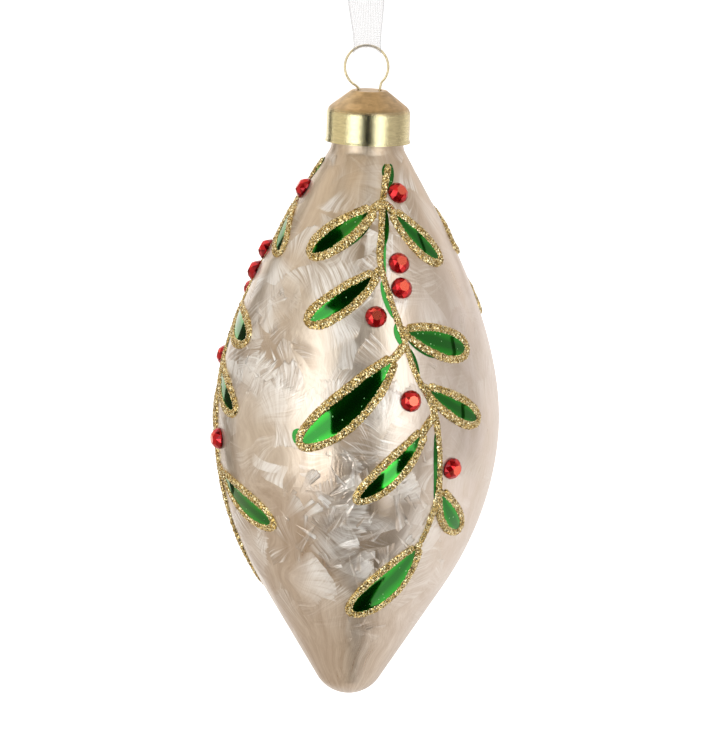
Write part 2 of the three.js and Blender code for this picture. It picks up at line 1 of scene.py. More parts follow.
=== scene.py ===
"""Looks of a glass finial ornament: frosted silvered glass, gold cap and wire ring, sheer ribbon,
and painted leaf and berry sprigs. Sizes are metres unless a name or comment says millimetres."""

import contextlib
import functools
import math

import bmesh
import bpy
import numpy as np
from mathutils import Matrix, Vector


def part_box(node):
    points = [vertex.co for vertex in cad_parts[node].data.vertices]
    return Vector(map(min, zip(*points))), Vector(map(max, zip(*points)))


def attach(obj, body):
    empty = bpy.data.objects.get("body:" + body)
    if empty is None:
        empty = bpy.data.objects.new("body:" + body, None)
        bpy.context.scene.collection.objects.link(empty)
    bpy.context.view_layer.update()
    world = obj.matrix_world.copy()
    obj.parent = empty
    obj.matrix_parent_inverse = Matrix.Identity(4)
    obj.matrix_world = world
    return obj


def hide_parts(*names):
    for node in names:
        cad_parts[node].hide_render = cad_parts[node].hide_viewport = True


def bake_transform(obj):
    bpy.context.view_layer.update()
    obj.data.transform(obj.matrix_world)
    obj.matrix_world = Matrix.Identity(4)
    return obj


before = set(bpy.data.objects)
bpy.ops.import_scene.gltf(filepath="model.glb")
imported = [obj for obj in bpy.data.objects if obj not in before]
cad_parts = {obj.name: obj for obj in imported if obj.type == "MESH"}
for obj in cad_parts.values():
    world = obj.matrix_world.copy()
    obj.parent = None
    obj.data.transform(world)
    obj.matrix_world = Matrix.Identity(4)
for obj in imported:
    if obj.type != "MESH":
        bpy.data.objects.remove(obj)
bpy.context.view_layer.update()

bl_info = {
    "name": "Glass Finial Ornament",
    "version": (1, 0, 0),
    "blender": (4, 5, 0),
    "location": "View3D > Sidebar > Ornament",
    "description": "Builds the looks of a glass finial ornament around its packed frame",
    "category": "Add Mesh",
}

MM = 0.001
GLASS_LOW, GLASS_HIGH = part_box("glass_body")
AXIS_X = (GLASS_LOW.x + GLASS_HIGH.x) / 2
GLASS_TIP = GLASS_LOW.z
CAP_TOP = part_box("cap")[1].z
CAP_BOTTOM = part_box("cap")[0].z
RING_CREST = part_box("wire_hanger")[1].z
LEG_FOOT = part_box("wire_hanger")[0].z

# One sprig, drawn flat, in millimetres: across is to the right round the glass, and fall is down
# along the glass from the foot of its neck. Its stem, as across and fall:
STEM = np.array([
    (0, 2.3), (-3.2, 10.2), (-6.3, 20.8), (-8.6, 32.2), (-6.4, 47.2),
    (-3.2, 60.6), (1.1, 69.3), (3.4, 81.9), (4.2, 94.2), (1.7, 107.4),
])
# Joint's fall, stalk, lean in degrees from straight down (negative to the left), length, width, bend
LEAVES = [
    (12.9, 2.0, -55.5, 27.0, 5.4, 0.0),
    (12.9, 2.4, 39.5, 20.5, 5.8, -0.9),
    (31.8, 0.5, -55, 27.1, 5.5, 0.5),
    (48.3, 0.5, 72, 21.9, 7.5, -0.3),
    (52.3, 4.2, -47, 36.6, 8.4, 1.1),
    (63.4, 0.5, 61, 22.4, 6.0, -0.5),
    (71.1, 4.2, -41, 26.6, 5.9, 1.1),
    (91.5, 0.9, 39.5, 16.7, 6.3, -0.9),
    (107.2, 0.9, -28.5, 26.3, 9.6, 0.5),
]
LOW_LEAF = 7
LOW_LEAF_LEFT = (90.9, 3.9, 62, 23.6, 8.0, -0.6)
LEAF_BELLY = 0.62
# Fall, side of the stem, distance kept away from it
STONES = [
    (10.5, 1, 0), (30.3, 1, 0.9), (37.2, 1, 0),
    (45.0, -1, 1.5), (67.4, -1, 1.6), (86.3, 1, 0),
]
EVEN = [0, 0, 0, 0, 0, 0]
# Name, turn about the upright in degrees, how much lower each stone lies, seed of the unevenness
SPRIGS = [
    ("front", 30, EVEN, 11),
    ("right", 154, EVEN, 12),
    ("left", -86, [1.4, 1.4, 1.0, 0, -4.0, -2.6], 13),
]
# Lacquer that shows beside the stem: from fall, to fall, side, width
STRIPS = [
    (2.0, 9.0, 1, 1.1), (2.0, 6.0, -1, 0.5), (14.5, 26.0, 1, 1.0), (19.0, 34.0, 1, 0.5),
    (35.0, 45.5, -1, 1.0), (46.5, 53.0, -1, 1.2), (53.5, 61.0, 1, 0.6), (76.0, 95.0, -1, 0.9),
]
# The same beside a leaf: number, from share, to share of its length, side, width
LEAF_STRIPS = [(0, 0.2, 0.62, 1, 0.35), (4, 0.92, 0.998, -1, 1.2), (3, 0.1, 0.5, -1, 0.4)]
GAP = 0.3  # the gap that the solids keep between touching pieces, millimetres


def linear(hex_colour):
    """Linear RGBA of an sRGB hex colour."""
    channels = [int(hex_colour[i:i + 2], 16) / 255 for i in (1, 3, 5)]
    return [c / 12.92 if c <= 0.04045 else ((c + 0.055) / 1.055) ** 2.4 for c in channels] + [1.0]


def length(name, description, default_mm):
    return bpy.props.FloatProperty(
        name=name, description=description, default=default_mm * MM, unit="LENGTH", precision=5)


def rotation(name, description, default_degrees):
    return bpy.props.FloatProperty(
        name=name, description=description, default=math.radians(default_degrees), unit="ROTATION")


def number(name, description, default):
    return bpy.props.FloatProperty(name=name, description=description, default=default)


def tint(name, description, hex_colour):
    return bpy.props.FloatVectorProperty(
        name=name, description=description, default=linear(hex_colour), size=4,
        subtype="COLOR", min=0, max=1)


class FINIAL_PG_glass(bpy.types.PropertyGroup):
    """Sizes and colours of the blown glass."""
    tip_radius: length("Tip radius", "Round end at the bottom", 10)
    lower_cone_height: length("Lower cone height", "Where the lower cone meets the belly", 31.1)
    lower_cone_angle: rotation("Lower cone angle", "Half angle of the lower cone", 32)
    belly_radius: length("Belly radius", "Widest radius", 38.3)
    belly_height: length("Belly height", "Height of the widest place above the tip", 75.6)
    belly_fullness: number("Belly fullness", "How far the curve's handles reach", 0.645)
    shoulder_radius: length("Shoulder radius", "Radius where the upper cone starts", 19.2)
    shoulder_height: length("Shoulder height", "Height where the upper cone starts", 133.1)
    upper_cone_angle: rotation("Upper cone angle", "Half angle of the upper cone", 30.1)
    neck_radius: length("Neck radius", "Outside of the neck", 9.65)
    neck_flare: length("Neck flare", "Radius of the curve into the neck", 5)
    neck_length: length("Neck length", "Straight part of the neck", 9.5)
    wall: length("Wall", "Thickness of the glass", 1.0)
    silver: tint("Silver", "Silvering seen through the lacquer", "#E5D8C6")
    frost: tint("Frost", "Ice lacquer crystals", "#FFFBF4")
    shade: tint("Shade", "Between the crystals", "#AE9982")
    neck: tint("Neck", "Thin silvering towards the neck", "#CDB38E")
    # pale is partly a painted reflection: it paints the right side of the glass paler, where it reflects the
    # white room.
    pale: tint("Pale", "Silvering where the lacquer is thin", "#F2E8E4")


class FINIAL_PG_fittings(bpy.types.PropertyGroup):
    """Sizes and colours of the cap and the wire hanger."""
    metal: length("Metal", "Thickness of the cap's metal", 0.4)
    top_radius: length("Top radius", "Flat top of the cap", 4.7)
    shoulder_radius: length("Shoulder radius", "Foot of the cap's cone", 10.9)
    cone_rise: length("Cone rise", "Height of the cap's cone", 4.8)
    band_radius: length("Band radius", "Straight band of the cap", 11.2)
    lip_flare: length("Lip flare", "How far the lip stands out", 0.3)
    lip_depth: length("Lip depth", "Height of the lip", 1.2)
    wire_radius: length("Wire radius", "Half the wire's thickness", 0.33)
    ring_radius: length("Ring radius", "Radius of the ring at the wire's middle", 5.8)
    ring_offset: length("Ring offset", "The ring is bent off the middle of its legs", -1.0)
    ring_foot_left: rotation("Left foot", "Where the left leg leaves the ring, from its lowest place", 27)
    ring_foot_right: rotation("Right foot", "Where the right leg leaves the ring, from its lowest place", 46)
    leg_spacing: length("Leg spacing", "Distance between the legs in the cap", 5.6)
    leg_drop: length("Leg drop", "From the cap's top to where the legs spread", 5.4)
    splay_drop: length("Splay drop", "Height over which the legs spread", 6)
    gold: tint("Gold", "Anodised gold of the cap's band", "#E8DFB0")
    # Painted shade: it is the same anodised gold as the band, painted a darker tan for the dim light the cone
    # reflects from above.
    shaded_satin_gold: tint("Satin gold", "Anodised gold of the cap's cone", "#C9AE84")
    wire_gold: tint("Wire gold", "Brass plating of the wire", "#EBDDB4")


class FINIAL_PG_ribbon(bpy.types.PropertyGroup):
    """Sizes and colour of the ribbon."""
    width: length("Width", "Width of the flat ribbon", 10)
    gathered_width: length("Gathered width", "Width where it passes through the ring", 7.4)
    cloth: length("Cloth", "Thickness of the woven sheet", 0.12)
    lean: rotation("Lean", "How far the ribbon leans off the upright", 3.7)
    hang_drop: length("Hang drop", "From the hanging point to the ring's top wire", 24)
    opening_drop: length("Opening drop", "Height over which it opens round the wire", 8)
    eye_length: length("Eye length", "Height of the eye under the knot", 10)
    eye_half_gap: length("Eye half gap", "Half the width of the eye", 2.9)
    knot_width: length("Knot width", "Width of the knot", 9)
    knot_depth: length("Knot depth", "Front to back size of the knot", 4.8)
    knot_height: length("Knot height", "Height of the knot", 6)
    tail_length: length("Tail length", "Length of each cut end", 12)
    white: tint("White", "Nylon threads", "#E6E4E5")


class FINIAL_PG_sprig(bpy.types.PropertyGroup):
    """Sizes and colours of the painted sprigs and their stones."""
    bead_width: length("Bead width", "Width of a squeezed glitter line", 2.2)
    stem_width: length("Stem width", "Width of a stem's glitter line", 1.8)
    bead_height: length("Bead height", "Height of a squeezed glitter line", 0.8)
    flake: length("Flake", "Width of a glitter flake", 0.38)
    lacquer: length("Lacquer", "Thickness of the green film", 0.25)
    stone_diameter: length("Stone diameter", "Girdle of a stone", 5.8)
    stone_height: length("Stone height", "Height of a stone", 2.3)
    stone_girdle: length("Stone girdle", "Height of the girdle", 0.5)
    glitter_bright: tint("Glitter bright", "Flakes that catch the light", "#FFF5C8")
    glitter_mid: tint("Glitter middle", "Most flakes", "#D2B264")
    glitter_dark: tint("Glitter dark", "Flakes turned away", "#80682E")
    green: tint("Green", "Green lacquer over the silvering", "#22AE22")
    # green_deep is the thick lacquer's colour, and also painted shade in the middle of each leaf.
    green_deep: tint("Deep green", "Where the lacquer is thick", "#087012")
    red: tint("Red", "Foiled red glass", "#BE0A16")


class FINIAL_PG_stage(bpy.types.PropertyGroup):
    """Light, floor and camera."""
    softbox: number("Softbox", "Radiance of the two softboxes, 1 being white", 1.8)
    glare: number("Glare", "Radiance of the softboxes in reflections", 2.2)
    fill: number("Fill", "Level of the white room's light", 0.5)
    floor_drop: length("Floor drop", "Floor below the glass tip", 150)
    camera_distance: length("Camera distance", "From the camera to the middle of the picture", 1500)
    camera_height: rotation("Camera angle", "How far the camera looks down", 9.5)
    camera_roll: rotation("Camera roll", "The ornament hangs off the picture's upright", 2.1)
    lens: number("Lens", "Focal length, in millimetres", 272.85)


# Meshes

def in_scene(name, data):
    """A new object with the given data, in the scene."""
    thing = bpy.data.objects.new(name, data)
    bpy.context.scene.collection.objects.link(thing)
    return thing


@contextlib.contextmanager
def edited(mesh):
    """A mesh's corners, edges and faces to work on, written back at the end."""
    work = bmesh.new()
    work.from_mesh(mesh)
    yield work
    work.to_mesh(mesh)
    work.free()


def mesh_object(name, vertices, faces, materials, smooth=True, face_values=None, uv=None, slots=None):
    """A mesh piece from vertices in metres. face_values are numbers for each face, by name."""
    mesh = bpy.data.meshes.new(name)
    mesh.from_pydata(np.asarray(vertices).tolist(), [], [list(map(int, f)) for f in faces])
    for material in materials:
        mesh.materials.append(material)
    for value_name, values in (face_values or {}).items():
        attribute = mesh.attributes.new(value_name, "FLOAT", "FACE")
        attribute.data.foreach_set("value", np.asarray(values, np.float32))
    if slots is not None:
        mesh.polygons.foreach_set("material_index", slots)
    mesh.polygons.foreach_set("use_smooth", [smooth] * len(mesh.polygons))
    if uv is not None:
        layer = mesh.uv_layers.new(name="UVMap")
        corners = np.zeros(len(mesh.loops), np.int32)
        mesh.loops.foreach_get("vertex_index", corners)
        layer.data.foreach_set("uv", np.asarray(uv, np.float32)[corners].ravel())
    mesh.update()
    facing_out(mesh)
    return in_scene(name, mesh)


def facing_out(mesh):
    """Turns the faces of each closed body in a mesh outwards."""
    with edited(mesh) as work:
        bmesh.ops.recalc_face_normals(work, faces=work.faces)


def sharpen(mesh, degrees):
    """Smooth shading that stops at edges sharper than an angle."""
    mesh.polygons.foreach_set("use_smooth", [True] * len(mesh.polygons))
    with edited(mesh) as work:
        for edge in work.edges:
            edge.smooth = edge.is_manifold and edge.calc_face_angle(0) < math.radians(degrees)


def unit(vectors):
    """The same directions, each of length one."""
    return vectors / np.linalg.norm(vectors, axis=-1)[..., None]


def run_along(line):
    """How far along a line each of its points lies."""
    return np.concatenate([[0], np.cumsum(np.linalg.norm(np.diff(line, axis=0), axis=1))])


def heading(line):
    """Unit vectors along a flat line, and square to it."""
    along = unit(np.gradient(line, axis=0))
    return along, np.stack([along[:, 1], -along[:, 0]], 1)


def grid_faces(rows, columns, joined=False):
    """Faces of a grid of points, row by row. joined closes each row into a ring."""
    faces = []
    for i in range(rows - 1):
        for k in range(columns if joined else columns - 1):
            a, b = i * columns + k, i * columns + (k + 1) % columns
            faces.append([a, b, b + columns, a + columns])
    return faces


def closed_sheet(over, under):
    """A thin closed body from two grids of points that lie over each other, row by row."""
    rows, across, _ = over.shape
    faces, shift = [], rows * across
    for quad in grid_faces(rows, across):
        faces += [quad, [q + shift for q in quad[::-1]]]
    border = list(range(across))
    border += [i * across + across - 1 for i in range(1, rows)]
    border += [(rows - 1) * across + k for k in range(across - 2, -1, -1)]
    border += [i * across for i in range(rows - 2, 0, -1)]
    for a, b in zip(border, border[1:] + border[:1]):
        faces.append([b, a, a + shift, b + shift])
    return np.concatenate([over, under]).reshape(-1, 3), faces


def lathe(profile, segments):
    """Vertices and faces of a closed profile of radius and height, turned about the upright."""
    on_axis = 1e-7
    vertices, rings, faces = [], [], []
    for radius, height in profile:
        count = 1 if radius < on_axis else segments
        start = len(vertices)
        for angle in 2 * np.pi * np.arange(count) / count:
            vertices.append((AXIS_X + radius * math.sin(angle), -radius * math.cos(angle), height))
        rings.append((start, count))
    closed = profile[0][0] > on_axis and profile[-1][0] > on_axis
    pairs = list(zip(rings, rings[1:])) + ([(rings[-1], rings[0])] if closed else [])
    for (a, a_count), (b, b_count) in pairs:
        for k in range(segments):
            n = (k + 1) % segments
            corner = [a + k % a_count, a + n % a_count, b + n % b_count, b + k % b_count]
            face = list(dict.fromkeys(corner))
            if len(face) > 2:
                faces.append(face)
    return vertices, faces


def smoothstep(value, low, high):
    share = np.clip((value - low) / (high - low), 0, 1)
    return share * share * (3 - 2 * share)


def bezier(points, steps):
    t = np.linspace(0, 1, steps + 1)[:, None]
    a, b, c, d = (np.array(p) for p in points)
    return (1 - t) ** 3 * a + 3 * (1 - t) ** 2 * t * b + 3 * (1 - t) * t ** 2 * c + t ** 3 * d


def glass_outline(glass, tip_steps, belly_steps, flare_steps):
    """Outside of the glass as rows of radius and height above its tip, from the tip up."""
    low, high = glass.lower_cone_angle, glass.upper_cone_angle
    turn = np.linspace(-math.pi / 2, -low, tip_steps + 1)
    tip = glass.tip_radius * np.stack([np.cos(turn), 1 + np.sin(turn)], 1)
    cone_start = tip[-1]
    cone_end = np.array([
        cone_start[0] + (glass.lower_cone_height - cone_start[1]) * math.tan(low),
        glass.lower_cone_height,
    ])
    belly = np.array([glass.belly_radius, glass.belly_height])
    shoulder = np.array([glass.shoulder_radius, glass.shoulder_height])
    low_corner = np.array([belly[0], cone_end[1] + (belly[0] - cone_end[0]) / math.tan(low)])
    high_corner = np.array([belly[0], shoulder[1] - (belly[0] - shoulder[0]) / math.tan(high)])
    full = glass.belly_fullness
    lower = bezier([cone_end, cone_end + full * (low_corner - cone_end),
                    belly + full * (low_corner - belly), belly], belly_steps)
    upper = bezier([belly, belly + full * (high_corner - belly),
                    shoulder + full * (high_corner - shoulder), shoulder], belly_steps)
    neck_foot = shoulder[1] + (shoulder[0] - glass.neck_radius) / math.tan(high)
    reach = glass.neck_flare * math.tan(high / 2)
    centre = np.array([glass.neck_radius + glass.neck_flare, neck_foot + reach])
    turn = math.pi + high * (1 - np.linspace(0, 1, flare_steps + 1))
    flare = centre + glass.neck_flare * np.stack([np.cos(turn), np.sin(turn)], 1)
    rim = np.array([[glass.neck_radius, neck_foot + reach + glass.neck_length]])
    return np.concatenate([tip, lower, upper[1:], flare, rim])


class GlassSurface:
    """Places on the outside of the glass, by distance down its outline from the foot of its neck."""
    FLARE_STEPS = 12

    def __init__(self, glass):
        outline = glass_outline(glass, 24, 120, self.FLARE_STEPS)[::-1]
        run = run_along(outline)
        self.fall = run - run[1 + self.FLARE_STEPS]
        self.radius, self.height = outline.T
        down = unit(np.gradient(outline, run, axis=0))
        self.out, self.up = -down[:, 1], down[:, 0]

    def place(self, flat, lift, turn):
        """Points in the frame for flat places of across and fall, in metres. turn is in radians."""
        across, fall = flat[..., 0], flat[..., 1]
        radius = np.interp(fall, self.fall, self.radius)
        out, up = np.interp(fall, self.fall, self.out), np.interp(fall, self.fall, self.up)
        angle = across / radius + turn
        reach = radius + lift * out
        height = np.interp(fall, self.fall, self.height) + lift * up + GLASS_TIP
        return np.stack([AXIS_X + reach * np.sin(angle), -reach * np.cos(angle), height], -1)

    def axes(self, flat, turn):
        """Unit vectors to the right, up along the glass, and out of it, at flat places."""
        across, fall = flat[..., 0], flat[..., 1]
        radius = np.interp(fall, self.fall, self.radius)
        out, up = np.interp(fall, self.fall, self.out), np.interp(fall, self.fall, self.up)
        angle = across / radius + turn
        outward = unit(np.stack([out * np.sin(angle), -out * np.cos(angle), up], -1))
        right = np.stack([np.cos(angle), np.sin(angle), 0 * angle], -1)
        return right, np.cross(outward, right), outward


# The drawn sprig

def catmull_rom(points, steps):
    """A smooth line through points, as rows."""
    points = np.asarray(points, float)
    rows = []
    for i in range(len(points) - 1):
        before, here = points[max(i - 1, 0)], points[i]
        there, after = points[i + 1], points[min(i + 2, len(points) - 1)]
        t = np.linspace(0, 1, steps, endpoint=False)[:, None]
        leave, arrive = (there - before) / 2, (after - here) / 2
        rows.append((2 * here - 2 * there + leave + arrive) * t ** 3
                    + (3 * there - 3 * here - 2 * leave - arrive) * t ** 2 + leave * t + here)
    return np.concatenate([*rows, points[-1:]])


STEM_LINE = catmull_rom(STEM, 24)


def stem_at(fall):
    return np.array([np.interp(fall, STEM_LINE[:, 1], STEM_LINE[:, 0]), fall])


class Leaf:
    """A leaf's drawn shape in millimetres: pointed at its stalk, widest at its belly, round at its tip."""

    def __init__(self, joint, stalk, lean, long, wide, bend):
        turn = math.radians(lean)
        self.axis = np.array([math.sin(turn), math.cos(turn)])
        self.aside = np.array([self.axis[1], -self.axis[0]])
        self.joint = stem_at(joint)
        self.root = self.joint + stalk * self.axis
        self.long, self.wide, self.bend = long, wide, bend

    def half_width(self, share):
        power = 0.5 * LEAF_BELLY / (1 - LEAF_BELLY)
        peak = LEAF_BELLY ** power * math.sqrt(1 - LEAF_BELLY)
        return self.wide / 2 * share ** power * np.sqrt(np.maximum(1 - share, 0)) / peak

    def middle(self, share):
        share = np.asarray(share, float)[..., None]
        return self.root + share * self.long * self.axis + 4 * self.bend * share * (1 - share) * self.aside

    def share_at(self, half_width):
        shares = np.linspace(0.005, LEAF_BELLY, 400)
        return shares[np.argmax(self.half_width(shares) >= half_width)]

    def rim(self, first_half_width, steps=60):
        """The line round the blade, from its root along one edge, round its tip and back."""
        start = self.share_at(first_half_width)
        share = start + (1 - start) * np.sin(np.linspace(0, math.pi / 2, steps))
        side = self.half_width(share)[:, None] * self.aside
        middle = self.middle(share)
        return np.concatenate([middle + side, (middle - side)[-2::-1]])


def leaves_of(sprig_name):
    drawn = list(LEAVES)
    if sprig_name == "left":
        drawn[LOW_LEAF] = LOW_LEAF_LEFT
    return [Leaf(*leaf) for leaf in drawn]


def evenly(line, spacing):
    """The same line with points a given distance apart."""
    run = run_along(line)
    places = np.linspace(0, run[-1], max(4, int(run[-1] / spacing) + 1))
    return np.stack([np.interp(places, run, column) for column in line.T], 1)


def wander(count, knots, size, rng):
    """Slow random unevenness along a line."""
    return np.interp(np.linspace(0, 1, count), np.linspace(0, 1, knots), rng.uniform(-size, size, knots))


# Materials. Places in them are in millimetres, so a pattern's scale is one over its size.

def set_sockets(tree, node, sockets):
    """Fills a node's sockets, by name or number, with values, sockets or other nodes' first outputs."""
    for key, value in sockets.items():
        if isinstance(value, bpy.types.Node):
            value = value.outputs[0]
        if isinstance(value, bpy.types.NodeSocket):
            tree.links.new(value, node.inputs[key])
        else:
            node.inputs[key].default_value = value


def add_node(tree, kind, *values, **named):
    """Adds a node. Values fill its sockets in order. A name with a capital is a socket's, and any
    other name is a setting's."""
    made = tree.nodes.new("ShaderNode" + kind)
    sockets = dict(enumerate(values))
    for name, value in named.items():
        if name[0].isupper():
            sockets[name] = value
        else:
            setattr(made, name, value)
    set_sockets(tree, made, sockets)
    return made


def new_material(name):
    """A material, the function that adds its nodes, and the one that sets its shader's sockets."""
    material = bpy.data.materials.new(name)
    material.use_nodes = True
    tree = material.node_tree
    surface = functools.partial(set_sockets, tree, tree.nodes["Principled BSDF"])
    return material, functools.partial(add_node, tree), surface


def millimetres(add):
    """The place on the object, in millimetres."""
    return add("VectorMath", add("TexCoord").outputs["Object"], Scale=1 / MM, operation="SCALE")


def set_ramp(ramp, stops):
    """Fills a colour ramp with (place, linear colour) stops."""
    elements = ramp.color_ramp.elements
    while len(elements) < len(stops):
        elements.new(0.5)
    for element, (place, colour) in zip(elements, stops):
        element.position, element.color = place, colour


def crystal_layer(add, place, normal, cell, seed, spread, cut, tilt):
    """One layer of ice crystals. Each cell of it, whose size is in millimetres, holds one fan of
    needles: soft at its root, cut off straight at its end. spread is half the fan's angle, cut the
    softness of its end, and tilt how far its plate leans. Returns its cover, tone and height."""
    moved = add("VectorMath", place, (7.3 * seed, 3.1 * seed, 5.9 * seed), operation="ADD")
    cells = add("TexVoronoi", Vector=moved, Scale=1 / cell)
    local = add("VectorMath", moved, cells.outputs["Position"], operation="SUBTRACT")
    chance = add("SeparateColor", cells.outputs["Color"]).outputs
    lean = add("VectorMath", cells.outputs["Color"], (0.5, 0.5, 0.5), operation="SUBTRACT")
    side = add("VectorMath", normal, lean, operation="CROSS_PRODUCT")
    side = add("VectorMath", side, operation="NORMALIZE")
    fore = add("VectorMath", side, normal, operation="CROSS_PRODUCT")
    u = add("VectorMath", local, fore, operation="DOT_PRODUCT").outputs["Value"]
    v = add("VectorMath", local, side, operation="DOT_PRODUCT").outputs["Value"]
    # The needles fan out from a root at one side of the cell
    from_root = add("Math", u, 0.7 * cell, operation="ADD")
    turn = add("Math", v, from_root, operation="ARCTAN2")
    ray = add("CombineXYZ", add("Math", turn, 1.3 * cell, operation="MULTIPLY"),
              add("Math", from_root, 0.07, operation="MULTIPLY"),
              add("Math", chance[0], 40.0 + seed, operation="MULTIPLY"))
    needle = add("TexNoise", Vector=ray, Scale=1.0, Detail=4.0, Roughness=0.65)
    needle = add("MapRange", needle, 0.32, 0.68)
    # They end at their own length, at the fan's sides, and softly at its root
    end_at = add("MapRange", chance[1], 0.0, 1.0, 0.85 * cell, 1.35 * cell)
    uneven = add("Math", needle, 0.12 * cell, operation="MULTIPLY")
    end_at = add("Math", end_at, uneven, operation="ADD")
    end = add("MapRange", add("Math", end_at, from_root, operation="SUBTRACT"), 0.0, cut * cell)
    half = add("MapRange", chance[2], 0.0, 1.0, 0.5 * spread, spread)
    inside = add("Math", half, add("Math", turn, operation="ABSOLUTE"), operation="SUBTRACT")
    wedge = add("MapRange", inside, 0.0, 0.3 * spread)
    root = add("MapRange", from_root, 0.15 * cell, 0.9 * cell)
    root = add("Math", root, 1.6, operation="POWER")
    cover = add("Math", add("Math", end, wedge, operation="MULTIPLY"), root, operation="MULTIPLY")
    cover = add("Math", cover, add("MapRange", needle, 0.0, 1.0, 0.5, 1.0), operation="MULTIPLY")
    own_tone = add("Math", chance[0], 0.5, operation="MULTIPLY")
    tone = add("Math", own_tone, add("Math", needle, 0.5, operation="MULTIPLY"), operation="ADD")
    slope = add("MapRange", chance[2], 0.0, 1.0, -tilt, tilt)
    ridge = add("Math", needle, 0.25 * tilt + 0.02, operation="MULTIPLY")
    height = add("Math", add("Math", u, slope, operation="MULTIPLY"), ridge, operation="ADD")
    return cover, tone, add("Math", height, cover, operation="MULTIPLY")


# Cell in millimetres, seed, spread, cut and tilt of the layers of soft plumes and of sharp crystals
PLUMES = [(24.0, 3, 0.7, 0.07, 0.02), (17.0, 8, 0.65, 0.05, 0.025), (12.0, 11, 0.55, 0.03, 0.04)]
SHARP_CRYSTALS = [(11.0, 17, 0.3, 0.02, 0.2), (8.0, 23, 0.2, 0.02, 0.3), (6.0, 29, 0.13, 0.02, 0.4)]
# The middle of the largest patch of sharp crystals, low on the front, in millimetres
SHARP_PATCH = (AXIS_X / MM + 2, -30.0, GLASS_TIP / MM + 54)


def hair_lines(add, place, sway):
    """Fine lines and broad brush marks that run round the glass's axis from neck to tip.
    Real lines are 0.3 mm apart; they are drawn 0.6 mm apart, or they would run together."""
    around = add("VectorMath", place, (-AXIS_X / MM, 0, 0), operation="ADD")
    around = add("VectorMath", around, (1.0, 1.0, 0.0), operation="MULTIPLY")
    around = add("VectorMath", around, operation="NORMALIZE")
    down = add("VectorMath", place, (0.0, 0.0, 0.03), operation="MULTIPLY")
    streak = add("VectorMath", around, (26.0, 26.0, 0.0), down, operation="MULTIPLY_ADD")
    streak = add("VectorMath", sway, (20.0, 20.0, 3.0), streak, operation="MULTIPLY_ADD")
    hair = add("TexNoise", Vector=streak, Scale=2.2, Detail=3.0, Roughness=0.6)
    brush = add("TexNoise", Vector=streak, Scale=0.35, Detail=2.0, Roughness=0.5)
    return add("MapRange", hair, 0.3, 0.7), add("MapRange", brush, 0.25, 0.75)


def lacquer_cover(add, place, bent, height, thick):
    """Where the lacquer froze: in plumes nearly everywhere, thinner on one side and towards both
    ends, and in small sharp crystals in a few patches."""
    low_end = add("MapRange", height, GLASS_TIP / MM + 14, GLASS_TIP / MM + 40)
    high_end = add("MapRange", height, GLASS_TIP / MM + 160, GLASS_TIP / MM + 142)
    where = add("Math", low_end, high_end, operation="MULTIPLY")
    where = add("Math", where, thick, operation="MULTIPLY")
    gaps = add("TexNoise", Vector=bent, Scale=0.05, Detail=1.0)
    gaps = add("MapRange", gaps, 0.36, 0.48, 0.3, 1.0)
    patch = add("TexNoise", Vector=place, Scale=0.03, Detail=2.0)
    sharp = add("MapRange", patch, 0.54, 0.62)
    near = add("VectorMath", place, SHARP_PATCH, operation="DISTANCE").outputs["Value"]
    sharp = add("Math", sharp, add("MapRange", near, 24.0, 15.0), operation="MAXIMUM")
    return (add("Math", where, gaps, operation="MULTIPLY"),
            add("Math", sharp, where, operation="MULTIPLY"))


